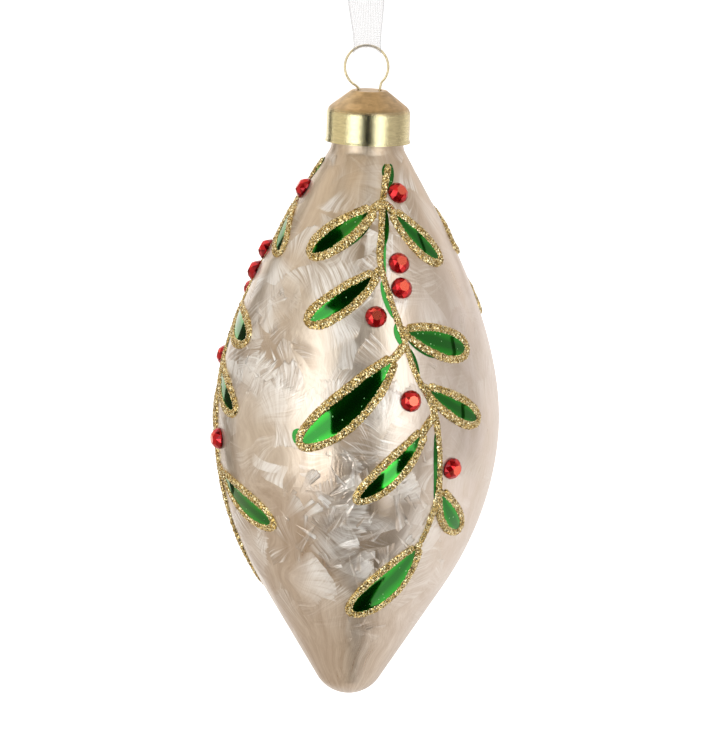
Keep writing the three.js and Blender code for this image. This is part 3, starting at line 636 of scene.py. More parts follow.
def silvered_glass_with_ice_lacquer(glass):
    """Blown glass, silvered inside and dipped in crystallising lacquer: a satin champagne mirror with
    hair lines that run from neck to tip, under pale plumes of needles that are rougher than it."""
    material, add, surface = new_material("silvered_glass_ice_lacquer")
    place = millimetres(add)
    normal = add("NewGeometry").outputs["Normal"]
    sway = add("TexNoise", Vector=place, Scale=0.035, Detail=2.0).outputs["Color"]
    sway = add("VectorMath", sway, (0.5, 0.5, 0.5), operation="SUBTRACT")
    wobble = add("TexNoise", Vector=place, Scale=0.09, Detail=1.0).outputs["Color"]
    wobble = add("VectorMath", wobble, (0.5, 0.5, 0.5), operation="SUBTRACT")
    bent = add("VectorMath", wobble, (4.0, 4.0, 4.0), place, operation="MULTIPLY_ADD")
    hair, brush = hair_lines(add, place, sway)
    tone = add("Math", hair, 0.3, add("Math", brush, 0.6, operation="MULTIPLY"), operation="MULTIPLY_ADD")
    parts = add("SeparateXYZ", place).outputs
    # Painted reflection: towards the right side the glass is painted paler and pinker, for the white room it
    # reflects there. The same mask also lets the lacquer freeze less on that side.
    thick = add("MapRange", parts[0], AXIS_X / MM + 6, AXIS_X / MM + 28, 1.0, 0.3)
    # Painted shade: the glass is painted darker below the belly and lighter above it, for the dark it
    # reflects below.
    high = add("MapRange", parts[2], GLASS_TIP / MM + 60, GLASS_TIP / MM + 110)
    clear = add("MixRGB", thick, tuple(glass.pale), tuple(glass.silver))
    deep = add("MixRGB", thick, tuple(glass.silver), tuple(glass.shade))
    tone = add("Math", high, 0.3, tone, operation="MULTIPLY_ADD")
    colour = add("MixRGB", tone, deep, clear)
    # The silvering is thinner and browner towards the neck
    thin = add("MapRange", parts[2], GLASS_TIP / MM + 104, GLASS_TIP / MM + 146, 0.0, 0.55)
    colour = add("MixRGB", thin, colour, tuple(glass.neck))
    height = add("Math", hair, 0.02, operation="MULTIPLY")
    frosted = add("Math", brush, 0.3, operation="MULTIPLY")
    plumes, sharp = lacquer_cover(add, place, bent, parts[2], thick)
    colour = add("MixRGB", add("Math", sharp, 0.7, operation="MULTIPLY"), colour, deep)
    layers = [(bent, plumes, layer) for layer in PLUMES] + [(place, sharp, layer) for layer in SHARP_CRYSTALS]
    for laid, only, layer in layers:
        cover, feather, lift = crystal_layer(add, laid, normal, *layer)
        cover = add("Math", cover, only, operation="MULTIPLY")
        lift = add("Math", lift, only, operation="MULTIPLY")
        frost = add("MixRGB", add("MapRange", feather, 0.28, 0.62), deep, tuple(glass.frost))
        colour = add("MixRGB", cover, colour, frost)
        height = add("Math", height, lift, operation="ADD")
        frosted = add("Math", frosted, cover, operation="MAXIMUM")
    surface({
        "Base Color": colour, "IOR": 1.5, "Coat Weight": 0.4, "Coat Roughness": 0.06, "Coat IOR": 1.5,
        "Roughness": add("MapRange", frosted, 0.0, 1.0, 0.27, 0.42),
        "Metallic": add("MapRange", frosted, 0.0, 1.0, 0.8, 0.38),
        "Normal": add("Bump", Distance=MM, Height=height),
    })
    return material


def silver_lining():
    """Mirror silvering on the inside of the glass: bright and a little milky."""
    material, add, surface = new_material("silver_lining")
    milk = add("TexNoise", Vector=millimetres(add), Scale=0.3, Detail=3.0)
    ramp = add("ValToRGB", milk)
    set_ramp(ramp, [(0.35, linear("#B9AE9C")), (0.65, linear("#DDD3C0"))])
    surface({"Base Color": ramp, "Metallic": 1.0, "Roughness": 0.22})
    return material


def gold_anodised_aluminium(fittings):
    """Drawn aluminium, anodised gold: a bright dipped band, and a cone left satin by the press and painted a
    darker tan, as painted shade for the dim light it reflects from above.
    """
    material, add, surface = new_material("gold_anodised_aluminium")
    place = millimetres(add)
    band_top = (CAP_TOP - fittings.cone_rise) / MM
    height = add("SeparateXYZ", place).outputs[2]
    satin = add("MapRange", height, band_top - 1.2, band_top + 0.3)
    drawn = add("VectorMath", place, (0.3, 0.3, 2.0), operation="MULTIPLY")
    drawn = add("TexNoise", Vector=drawn, Scale=1.6, Detail=4.0, Roughness=0.65)
    drawn = add("MapRange", drawn, 0.3, 0.7)
    skin = add("TexNoise", Vector=place, Scale=1.6, Detail=4.0, Roughness=0.75)
    skin = add("MapRange", skin, 0.3, 0.7)
    # Painted shade: the satin mask also paints the cone the darker tan gold. Only its roughness is a real
    # satin finish.
    colour = add("MixRGB", satin, tuple(fittings.gold), tuple(fittings.shaded_satin_gold))
    cloud = add("TexNoise", Vector=place, Scale=0.28, Detail=2.0)
    cloud = add("MapRange", cloud, 0.35, 0.65, 0.72, 1.12)
    cloud = add("MixRGB", satin, (1, 1, 1, 1), cloud)
    worn = add("Math", add("MapRange", drawn, 0.0, 1.0, 0.84, 1.06), cloud, operation="MULTIPLY")
    rough = add("MapRange", skin, 0.0, 1.0, 0.08, 0.18)
    relief = add("Math", drawn, 0.01, operation="MULTIPLY")
    relief = add("Math", skin, 0.024, relief, operation="MULTIPLY_ADD")
    surface({
        "Base Color": add("VectorMath", colour, Scale=worn, operation="SCALE"), "Metallic": 1.0,
        "Roughness": add("Math", satin, 0.24, rough, operation="MULTIPLY_ADD"),
        "Normal": add("Bump", Distance=MM, Height=relief),
    })
    return material


def brass_plated_wire(fittings):
    """Spring wire, brass plated: pale gold, satin from its drawing die."""
    material, add, surface = new_material("brass_plated_wire")
    die = add("TexNoise", Vector=millimetres(add), Scale=0.9, Detail=2.0)
    tarnish = add("MapRange", die, 0.4, 0.65, 1.0, 0.72)
    colour = add("VectorMath", tuple(fittings.wire_gold)[:3], Scale=tarnish, operation="SCALE")
    surface({"Base Color": colour, "Metallic": 1.0, "Roughness": 0.28})
    return material


def nylon_organza(name, ribbon, layers=1):
    """Sheer plain-woven nylon monofilament: see-through, with denser woven edges. In a knot it lies
    in many layers, which together hide what is behind. Real threads are 0.25 mm apart; they are
    drawn 0.5 mm apart, or no picture could show them."""
    material, add, surface = new_material(name)
    where = add("SeparateXYZ", add("TexCoord").outputs["UV"])
    threads = []
    for across in where.outputs[:2]:
        wave = add("Math", across, 2 * math.pi / 0.5, operation="MULTIPLY")
        threads.append(add("MapRange", add("Math", wave, operation="SINE"), -1.0, 1.0))
    weave = add("Math", *threads, operation="MAXIMUM")
    edge = add("Math", where, operation="ABSOLUTE")
    half = ribbon.width / MM / 2
    woven_edge = add("MapRange", edge, half - 0.5, half - 0.3, 0.0, 0.16)
    sheer = [1 - (1 - cover) ** layers for cover in (0.08, 0.2)]
    body = add("MapRange", weave, 0.0, 1.0, *sheer)
    surface({"Base Color": tuple(ribbon.white), "Roughness": 0.5, "IOR": 1.53, "Sheen Weight": 0.3,
             "Alpha": add("Math", body, woven_edge, operation="ADD")})
    return material


def glitter_glue(sprig):
    """Gold polyester glitter in clear glue: a crust of small metallic flakes at every angle."""
    material, add, surface = new_material("gold_glitter_glue")
    # Painted glints and shade: each facet and flake gets a random shade, light for a painted glint and dark
    # for painted shade, on top of the light its own tilt catches.
    shade = add("Attribute", attribute_name="flake_shade", attribute_type="GEOMETRY")
    ramp = add("ValToRGB", shade.outputs["Fac"])
    set_ramp(ramp, [(0.0, tuple(sprig.glitter_dark)), (0.4, tuple(sprig.glitter_mid)),
                    (0.82, tuple(sprig.glitter_bright))])
    surface({"Base Color": ramp, "Metallic": 0.85, "Roughness": 0.25,
             "Coat Weight": 0.4, "Coat Roughness": 0.08})
    return material


def green_lacquer_on_silver(sprig):
    """Clear green lacquer over the silvering: a deep green mirror with a few specks of dust."""
    material, add, surface = new_material("green_lacquer_on_silver")
    place = millimetres(add)
    # Deepest in the middle of a leaf, as painted shade for the dark front it reflects, and deeper still where
    # the lacquer pooled at random
    across = add("SeparateXYZ", add("TexCoord").outputs["UV"])
    thin = add("Math", across, operation="ABSOLUTE")
    pool = add("TexNoise", Vector=place, Scale=0.12, Detail=1.0)
    thin = add("Math", pool, 0.4, thin, operation="MULTIPLY_ADD")
    colour = add("MixRGB", add("MapRange", thin, 0.4, 1.0), tuple(sprig.green_deep), tuple(sprig.green))
    dust = add("TexVoronoi", Vector=place, Scale=0.5)
    speck = add("MapRange", dust.outputs["Distance"], 0.11, 0.06, 0.0, 0.8)
    wave = add("TexNoise", Vector=place, Scale=0.22, Detail=1.0)
    wave = add("Math", wave, 0.05, operation="MULTIPLY")
    surface({
        "Base Color": add("MixRGB", speck, colour, linear("#B9F0B4")), "Metallic": 0.96,
        "Coat Weight": 0.65, "Coat Roughness": 0.02, "Coat IOR": 1.5,
        "Roughness": add("MapRange", speck, 0.0, 0.8, 0.08, 0.6),
        "Normal": add("Bump", Distance=MM, Height=wave),
    })
    return material


def foiled_red_glass(sprig):
    """Pressed red glass with a foil back. The light its facets throw back is painted: a painted highlight on
    the table and the upper facets, painted shade on the steep ones.
    """
    material, add, surface = new_material("foiled_red_glass")
    shade = add("Attribute", attribute_name="facet_glint_and_shade", attribute_type="GEOMETRY")
    ramp = add("ValToRGB", shade.outputs["Fac"])
    set_ramp(ramp, [(0.0, linear("#5E0410")), (0.45, tuple(sprig.red)), (0.75, linear("#DC2022")),
                    (1.0, linear("#FF7458"))])
    surface({"Base Color": ramp, "Metallic": 0.75, "Roughness": 0.12,
             "Coat Weight": 0.25, "Coat Roughness": 0.02, "Coat IOR": 1.54})
    return material


# Pieces

class FinialOperator:
    """What the operators share: they raise on failure, and finish when the piece is in the scene."""
    bl_options = {"REGISTER", "UNDO"}

    def execute(self, context):
        self.build(context.scene)
        return {"FINISHED"}


class FINIAL_OT_glass(FinialOperator, bpy.types.Operator):
    """Build the blown glass drop with its open neck"""
    bl_idname = "finial.glass"
    bl_label = "Frosted glass drop"

    def build(self, scene):
        glass = scene.finial_glass
        outside = glass_outline(glass, 20, 90, 14)
        inside = inward(glass_outline(glass, 12, 50, 8), glass.wall)
        rim_height = outside[-1][1]
        middle = glass.neck_radius - glass.wall / 2
        turn = np.linspace(0, math.pi, 7)[1:-1]
        rim = np.stack([middle + glass.wall / 2 * np.cos(turn),
                        rim_height - glass.wall / 2 + glass.wall / 2 * np.sin(turn)], 1)
        outside[-1][1] -= glass.wall / 2
        inside[-1] = [glass.neck_radius - glass.wall, rim_height - glass.wall / 2]
        outside[0][0] = inside[0][0] = 0
        profile = np.concatenate([outside, rim, inside[::-1]])
        profile[:, 1] += GLASS_TIP
        segments = 256
        vertices, faces = lathe(profile, segments)
        outer_faces = segments * (len(outside) - 1 + len(rim) // 2)
        slots = [0 if i < outer_faces else 1 for i in range(len(faces))]
        drop = mesh_object("frosted_glass_drop", vertices, faces,
                           [silvered_glass_with_ice_lacquer(glass), silver_lining()], slots=slots)
        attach(drop, "drop")
        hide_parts("glass_body")


def inward(outline, wall):
    """The same outline moved in by the wall."""
    moved = outline - wall * heading(outline)[1]
    moved[0] = [0, outline[0][1] + wall]
    return moved


def cap_outline(cap, inset):
    """Half profile of the cap's metal, moved in by inset, from its top's middle to its lip."""
    slope = cap.cone_rise / (cap.shoulder_radius - cap.top_radius)
    slant = math.hypot(1, slope)
    top = CAP_TOP - inset
    top_radius = cap.top_radius - inset * (slant - 1) / slope
    shoulder = np.array([cap.shoulder_radius - inset * slope / (1 + slope),
                         CAP_TOP - cap.cone_rise - inset * (slant - slope) / (1 + slope)])
    band = cap.band_radius - inset
    rounding, edge = 0.8 * MM, 0.35 * MM
    above = shoulder + rounding * np.array([-1, slope])
    below = np.array([band, shoulder[1] - 1.5 * rounding])
    edge_in = np.array([top_radius - edge, top])
    edge_out = np.array([top_radius, top]) + edge * np.array([1, -slope]) / slant
    edge_top = np.array([top_radius, top])
    lip = np.array([band + cap.lip_flare, CAP_BOTTOM])
    lip_start = np.array([band, CAP_BOTTOM + cap.lip_depth])
    return np.concatenate([
        [[0, top]],
        bezier([edge_in, edge_top, edge_top, edge_out], 5),
        bezier([above, (above + 2 * shoulder) / 3, (below + 2 * shoulder) / 3, below], 8),
        bezier([lip_start, lip_start - [0, cap.lip_depth / 2],
                lip + [-cap.lip_flare / 3, cap.lip_depth / 3], lip], 6),
    ])


class FINIAL_OT_cap(FinialOperator, bpy.types.Operator):
    """Build the drawn gold cap with the two holes for the wire"""
    bl_idname = "finial.cap"
    bl_label = "Gold cap"

    def build(self, scene):
        fittings = scene.finial_fittings
        outside, inside = cap_outline(fittings, 0), cap_outline(fittings, fittings.metal)
        vertices, faces = lathe(np.concatenate([outside, inside[::-1]]), 160)
        cap = mesh_object("gold_cap_shell", vertices, faces, [gold_anodised_aluminium(fittings)])
        hole = fittings.wire_radius + GAP * MM
        low, high = CAP_TOP - 3 * MM, CAP_TOP + 2 * MM
        drills = []
        for side in (-1, 1):
            drill_vertices, drill_faces = lathe([(0, low), (hole, low), (hole, high), (0, high)], 32)
            drill_vertices = np.array(drill_vertices) + [side * fittings.leg_spacing / 2, 0, 0]
            drill = mesh_object("drill", drill_vertices, drill_faces, [])
            cut = cap.modifiers.new("hole", "BOOLEAN")
            cut.operation, cut.solver, cut.object = "DIFFERENCE", "EXACT", drill
            drills.append(drill)
        apply_modifiers(cap)
        for drill in drills:
            bpy.data.objects.remove(drill)
        sharpen(cap.data, 40)
        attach(cap, "cap")
        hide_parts("cap")


def apply_modifiers(thing):
    """Bakes a piece's modifiers into its mesh."""
    evaluated = thing.evaluated_get(bpy.context.evaluated_depsgraph_get())
    thing.data = bpy.data.meshes.new_from_object(evaluated)
    thing.modifiers.clear()


class FINIAL_OT_hanger(FinialOperator, bpy.types.Operator):
    """Bend one wire into the ring and its two spring legs"""
    bl_idname = "finial.hanger"
    bl_label = "Wire hanger"

    def build(self, scene):
        fittings, glass = scene.finial_fittings, scene.finial_glass
        leg_x = fittings.leg_spacing / 2
        spring_x = glass.neck_radius - glass.wall - GAP * MM - fittings.wire_radius
        centre = RING_CREST - fittings.wire_radius - fittings.ring_radius
        splay = CAP_TOP - fittings.leg_drop
        splay_end = splay - fittings.splay_drop
        bent = 0.3 * MM  # how far the wire has gone across where a bend ends
        leg = [
            (spring_x, LEG_FOOT), (spring_x, (LEG_FOOT + splay_end) / 2), (spring_x, splay_end - 1 * MM),
            (spring_x - bent, splay_end + 0.5 * MM), (leg_x + bent, splay - 0.8 * MM),
            (leg_x, splay + 0.6 * MM), (leg_x, CAP_TOP - 1 * MM), (leg_x, CAP_TOP + 0.1 * MM),
        ]
        turn = np.linspace(-math.pi + fittings.ring_foot_left, math.pi - fittings.ring_foot_right, 24)
        ring = [(fittings.ring_offset + fittings.ring_radius * math.sin(t),
                 centre + fittings.ring_radius * math.cos(t)) for t in turn]
        path = [(-x, z) for x, z in leg] + ring + leg[::-1]
        wire = in_scene("wire_ring_and_legs", round_wire(path, fittings.wire_radius))
        wire.data.materials.append(brass_plated_wire(fittings))
        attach(wire, "hanger")
        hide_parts("wire_hanger")


def round_wire(path, radius):
    """A closed mesh of round wire, bent smoothly through places across and up."""
    curve = bpy.data.curves.new("wire_path", "CURVE")
    curve.dimensions = "3D"
    spline = curve.splines.new("BEZIER")
    spline.bezier_points.add(len(path) - 1)
    for point, (x, z) in zip(spline.bezier_points, path):
        point.co = (AXIS_X + x, 0, z)
        point.handle_left_type = point.handle_right_type = "AUTO"
    curve.resolution_u, curve.bevel_depth, curve.bevel_resolution = 8, radius, 5
    curve.use_fill_caps = True
    source = in_scene("wire_path", curve)
    bpy.context.view_layer.update()
    mesh = bpy.data.meshes.new_from_object(source.evaluated_get(bpy.context.evaluated_depsgraph_get()))
    bpy.data.objects.remove(source)
    bpy.data.curves.remove(curve)
    mesh.materials.clear()
    with edited(mesh) as work:
        bmesh.ops.remove_doubles(work, verts=work.verts, dist=0.001 * MM)
    facing_out(mesh)
    sharpen(mesh, 60)
    return mesh


FACET = 0.34 * MM  # between the rows of a glitter line
FLAKES_PER_ROW = 2.8
STRAY, SWELL = 0.1 * MM, 0.12  # how far a line wanders aside, and by what share its size varies
JAG = 0.13 * MM  # how far the corners of its facets lie off a smooth dome, about
CROOKED = 0.38  # how far the flakes lean off the dome
FLAKE_THICKNESS = 0.05 * MM
STALK_END = 1.2  # a leaf's stalk ends where half the blade is this wide, millimetres
SINK = 0.05 * MM  # how far what is stuck or painted on reaches into the glass


class FINIAL_OT_glitter(FinialOperator, bpy.types.Operator):
    """Squeeze the gold glitter lines of the three sprigs"""
    bl_idname = "finial.glitter"
    bl_label = "Glitter lines"

    def build(self, scene):
        sizes, surface = scene.finial_sprig, GlassSurface(scene.finial_glass)
        material = glitter_glue(sizes)
        for name, turn, _, seed in SPRIGS:
            rng = np.random.default_rng(seed)
            lines = [(STEM_LINE, sizes.stem_width)]
            for leaf in leaves_of(name):
                lines.append((leaf.rim(0.35 * sizes.bead_width / MM), sizes.bead_width))
                stalk = np.array([leaf.joint, leaf.middle(leaf.share_at(STALK_END))])
                lines.append((stalk, sizes.bead_width))
            crust = [glitter_line(line * MM, width, sizes, surface, math.radians(turn), rng)
                     for line, width in lines]
            vertices, faces, shades, offset = [], [], [], 0
            for line_vertices, line_faces, line_shades in crust:
                vertices.append(line_vertices)
                faces += [[i + offset for i in face] for face in line_faces]
                shades += list(line_shades)
                offset += len(line_vertices)
            glitter = mesh_object(f"glitter_lines_{name}", np.concatenate(vertices), faces, [material],
                                  smooth=False, face_values={"flake_shade": shades})
            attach(glitter, "drop")
            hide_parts(f"glitter_{name}")


def glitter_line(line, width, sizes, surface, turn, rng):
    """A squeezed line: a dome of random facets with loose flakes on it. Returns vertices, faces and
    a shade for each face."""
    line = evenly(line, FACET)
    rows, around = len(line), 9
    run = np.linspace(0, 1, rows) * FACET * (rows - 1)
    along, aside = heading(line)
    knots = max(3, int(run[-1] / (4 * MM)))
    line = line + aside * wander(rows, knots, STRAY, rng)[:, None]
    swell = 1 + wander(rows, knots, SWELL, rng)
    from_end = np.minimum(run, run[-1] - run)
    taper = np.sqrt(1 - (1 - np.clip(from_end / (width / 2), 0, 1)) ** 2) * 0.75 + 0.25
    half = width / 2 * swell * taper
    high = sizes.bead_height * swell * taper
    theta = np.linspace(0, math.pi, around)
    reach = -np.cos(theta)[None] * half[:, None] + rng.uniform(-JAG, JAG, (rows, around))
    lift = np.sin(theta)[None] ** 0.8 * (high[:, None] - 0.1 * MM)
    lift = lift + rng.uniform(-0.14, 0.16, (rows, around)) * MM * np.sin(theta)[None]
    lift[:, 0] = lift[:, -1] = -SINK
    slide = rng.uniform(-0.12, 0.12, (rows, around)) * MM
    flat = line[:, None] + aside[:, None] * reach[..., None] + along[:, None] * slide[..., None]
    vertices = surface.place(flat, lift, turn).reshape(-1, 3)
    faces = []
    cut = rng.random((rows, around)) < 0.5
    for i in range(rows - 1):
        for k in range(around - 1):
            a, b = i * around + k, i * around + k + 1
            c, d = b + around, a + around
            faces += [[a, b, c], [a, c, d]] if cut[i, k] else [[a, b, d], [b, c, d]]
        faces.append([i * around + around - 1, i * around, (i + 1) * around, (i + 1) * around + around - 1])
    faces.append(list(range(around)))
    faces.append(list(range((rows - 1) * around, rows * around)))
    # A random painted glint or shade for each facet
    shades = rng.random(len(faces)) ** 1.4
    return add_flakes(vertices, faces, shades, line, half, high, sizes, surface, turn, rng)


def add_flakes(vertices, faces, shades, line, half, high, sizes, surface, turn, rng):
    """Hexagonal flakes stuck at random angles in a line's dome, each a thin closed plate."""
    count = int(len(line) * FLAKES_PER_ROW)
    row = rng.integers(0, len(line), count)
    theta = rng.uniform(0.12, 0.88, count) * math.pi
    aside = heading(line)[1][row]
    spot = line[row] - aside * (np.cos(theta) * half[row])[:, None]
    lift = np.sin(theta) * high[row] * 0.98
    centre = surface.place(spot, lift, turn)
    right, upward, outward = surface.axes(spot, turn)
    across = right * aside[:, :1] - upward * aside[:, 1:]
    facing = outward * np.sin(theta)[:, None] - across * np.cos(theta)[:, None]
    facing = unit(facing + rng.normal(0, CROOKED, (count, 3)))
    first = unit(np.cross(facing, rng.normal(0, 1, (count, 3))))
    second = np.cross(facing, first)
    size = sizes.flake / 2 * rng.uniform(0.75, 1.15, count)
    corners = np.arange(6) * math.pi / 3
    hexagon = first[:, None] * np.cos(corners)[:, None] + second[:, None] * np.sin(corners)[:, None]
    hexagon = centre[:, None] + hexagon * size[:, None, None]
    half_plate = facing[:, None] * FLAKE_THICKNESS / 2
    plates = np.concatenate([hexagon + half_plate, hexagon - half_plate], 1)
    start = len(vertices)
    flake_shade = rng.random(count)
    new_shades = []
    for i in range(count):
        base = start + 12 * i
        faces.append([base + k for k in range(6)])
        faces.append([base + 11 - k for k in range(6)])
        faces += [[base + k, base + (k + 1) % 6, base + 6 + (k + 1) % 6, base + 6 + k] for k in range(6)]
        new_shades += [flake_shade[i]] * 8
    return np.concatenate([vertices, plates.reshape(-1, 3)]), faces, np.concatenate([shades, new_shades])


class FINIAL_OT_leaves(FinialOperator, bpy.types.Operator):
    """Fill the leaves with green lacquer"""
    bl_idname = "finial.leaves"
    bl_label = "Green lacquer leaves"

    def build(self, scene):
        sizes, surface = scene.finial_sprig, GlassSurface(scene.finial_glass)
        material = green_lacquer_on_silver(sizes)
        for name, turn, _, _ in SPRIGS:
            for i, leaf in enumerate(leaves_of(name)):
                vertices, faces, across = lacquer_film(leaf, sizes, surface, math.radians(turn))
                lacquer = mesh_object(f"lacquer_{name}_{i + 1}", vertices, faces, [material], uv=across)
                sharpen(lacquer.data, 50)
                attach(lacquer, "drop")
                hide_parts(f"leaf_{name}_{i + 1}")
            painted_strips(name, sizes, surface, math.radians(turn), material)


STRIP_THICKNESS, UNDER_LINE = 0.15, 0.4  # of a strip of lacquer, millimetres
FILM_START, FILM_END = 0.45, 0.997  # half width in millimetres, and share of a leaf's length


def painted_strips(name, sizes, surface, turn, material):
    """Green lacquer that the glitter lines don't cover, beside the stem and three of the leaves."""
    lines = []
    for top, bottom, side, wide in STRIPS:
        falls = np.linspace(top, bottom, 30)
        lines.append((np.array([stem_at(fall) for fall in falls]), side, wide, sizes.stem_width))
    for number, start, end, side, wide in LEAF_STRIPS:
        leaf = leaves_of(name)[number]
        share = np.linspace(start, end, 24)
        edge = leaf.middle(share) + side * leaf.half_width(share)[:, None] * leaf.aside
        lines.append((edge, side, wide, sizes.bead_width))
    for i, (line, side, wide, line_width) in enumerate(lines):
        aside = side * heading(line)[1]
        bulge = np.sin(np.linspace(0, math.pi, len(line))) ** 0.5
        breadth = 0.1 + (wide + UNDER_LINE) * bulge[:, None]
        reach = line_width / MM / 2 - UNDER_LINE + np.linspace(0, 1, 5)[None] * breadth
        flat = (line[:, None] + reach[..., None] * aside[:, None]) * MM
        lift = np.full(flat.shape[:2], STRIP_THICKNESS * MM)
        over, under = surface.place(flat, lift, turn), surface.place(flat, -0.3 * lift, turn)
        vertices, faces = closed_sheet(over, under)
        strip = mesh_object(f"lacquer_strip_{name}_{i + 1}", vertices, faces, [material])
        sharpen(strip.data, 50)
        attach(strip, "drop")


def lacquer_film(leaf, sizes, surface, turn):
    """A film that reaches under the leaf's glitter line, with a level top. Returns its vertices, its
    faces, and how far each vertex lies from the leaf's middle line, from -1 to 1, as UV."""
    rows, across = 40, 21
    start = leaf.share_at(FILM_START)
    share = start + (FILM_END - start) * np.sin(np.linspace(0, math.pi / 2, rows))
    u = np.linspace(-1, 1, across)
    flat = leaf.middle(share)[:, None] + (leaf.half_width(share)[:, None] * u[None])[..., None] * leaf.aside
    flat = flat * MM
    climb = 0.25 * MM  # up the side of the line
    top = sizes.lacquer + climb * np.abs(np.tile(u, (rows, 1))) ** 8
    vertices, faces = closed_sheet(surface.place(flat, top, turn), surface.place(flat, 0 * top - SINK, turn))
    uv = np.stack([np.tile(u, 2 * rows), np.repeat(np.tile(share, 2), across)], 1)
    return vertices, faces, uv


GLUE = 0.05 * MM  # under a stone


class FINIAL_OT_stones(FinialOperator, bpy.types.Operator):
    """Set the faceted red stones beside the stems"""
    bl_idname = "finial.stones"
    bl_label = "Red stones"

    def build(self, scene):
        sizes, surface = scene.finial_sprig, GlassSurface(scene.finial_glass)
        mesh = cut_stone(sizes, foiled_red_glass(sizes))
        for name, turn, drops, _ in SPRIGS:
            for i, (fall, side, away) in enumerate(STONES):
                fall += drops[i]
                beside = sizes.stone_diameter / 2 + sizes.stem_width / 2 + (GAP + away) * MM
                flat = stem_at(fall) * MM + [side * beside, 0]
                right, upward, outward = surface.axes(flat, math.radians(turn))
                spot = surface.place(flat, GLUE, math.radians(turn))
                spin = Matrix.Rotation(0.7 * i + 0.4 * turn, 4, "Z")
                stone = in_scene(f"red_stone_{name}_{i + 1}", mesh)
                stone.matrix_world = Matrix.Translation(spot) @ Matrix(
                    [[*row, 0] for row in np.stack([right, upward, outward], 1)] + [[0, 0, 0, 1]]) @ spin
                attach(stone, "drop")
                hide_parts(f"stone_{name}_{i + 1}")


def cut_stone(sizes, material):
    """A flat-backed brilliant: round girdle, kite and star facets, eight-sided table."""
    radius, girdle, top = sizes.stone_diameter / 2, sizes.stone_girdle, sizes.stone_height
    # Corners, share of the radius, height, and turn in corners
    rings = [(16, 1.0, 0.0, 0.0), (16, 1.0, girdle, 0.0),
             (8, 0.78, girdle + 0.6 * (top - girdle), 0.5), (8, 0.48, top, 0.0)]
    work = bmesh.new()
    for count, share, height, turn in rings:
        for k in range(count):
            angle = 2 * math.pi * (k + turn) / count
            work.verts.new((share * radius * math.cos(angle), share * radius * math.sin(angle), height))
    bmesh.ops.convex_hull(work, input=work.verts)
    bmesh.ops.dissolve_limit(work, angle_limit=math.radians(1), verts=work.verts, edges=work.edges)
    mesh = bpy.data.meshes.new("red_stone")
    work.to_mesh(mesh)
    work.free()
    mesh.materials.append(material)
    # Painted light: the table gets a painted highlight, the upper facets are painted lighter and the steep
    # ones darker, each varied at random.
    rng = np.random.default_rng(5)
    shade = mesh.attributes.new("facet_glint_and_shade", "FLOAT", "FACE")
    for facet, value in zip(mesh.polygons, shade.data):
        rise = facet.normal.z
        if rise > 0.99:
            value.value = 0.95
        else:
            value.value = rng.uniform(0.05, 0.4) + (rng.uniform(0.2, 0.55) if rise > 0.6 else 0)
    return mesh


class FINIAL_OT_ribbon(FinialOperator, bpy.types.Operator):
    """Thread the sheer ribbon through the ring and knot it"""
    bl_idname = "finial.ribbon"
    bl_label = "Sheer ribbon"

    def build(self, scene):
        sizes, fittings = scene.finial_ribbon, scene.finial_fittings
        material = nylon_organza("nylon_organza", sizes)
        over, under = leaned(ribbon_rows(sizes, fittings), sizes)
        vertices, faces = closed_sheet(over, under)
        rows, across, _ = over.shape
        run = run_along(over[:, across // 2])
        u = np.tile(np.linspace(-0.5, 0.5, across) * sizes.width / MM, rows)
        v = np.repeat(run / MM, across)
        uv = np.tile(np.stack([u, v], 1), (2, 1))
        band = mesh_object("ribbon_loop", vertices, faces, [material], uv=uv)
        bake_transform(band)
        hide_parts("ribbon_lower", "ribbon_upper")
        knot = ribbon_knot(sizes, nylon_organza("knotted_nylon_organza", sizes, layers=4))
        tails = [ribbon_tail(sizes, material, side) for side in (-1, 1)]
        for piece in [knot, *tails]:
            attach(piece, "ribbon_top")


def leaned(points, sizes):
    """The ribbon leans, so that it reaches the ring's middle."""
    points = np.array(points)
    drop = np.minimum(-points[..., 2], sizes.hang_drop)
    points[..., 0] += drop * math.tan(sizes.lean)
    return points


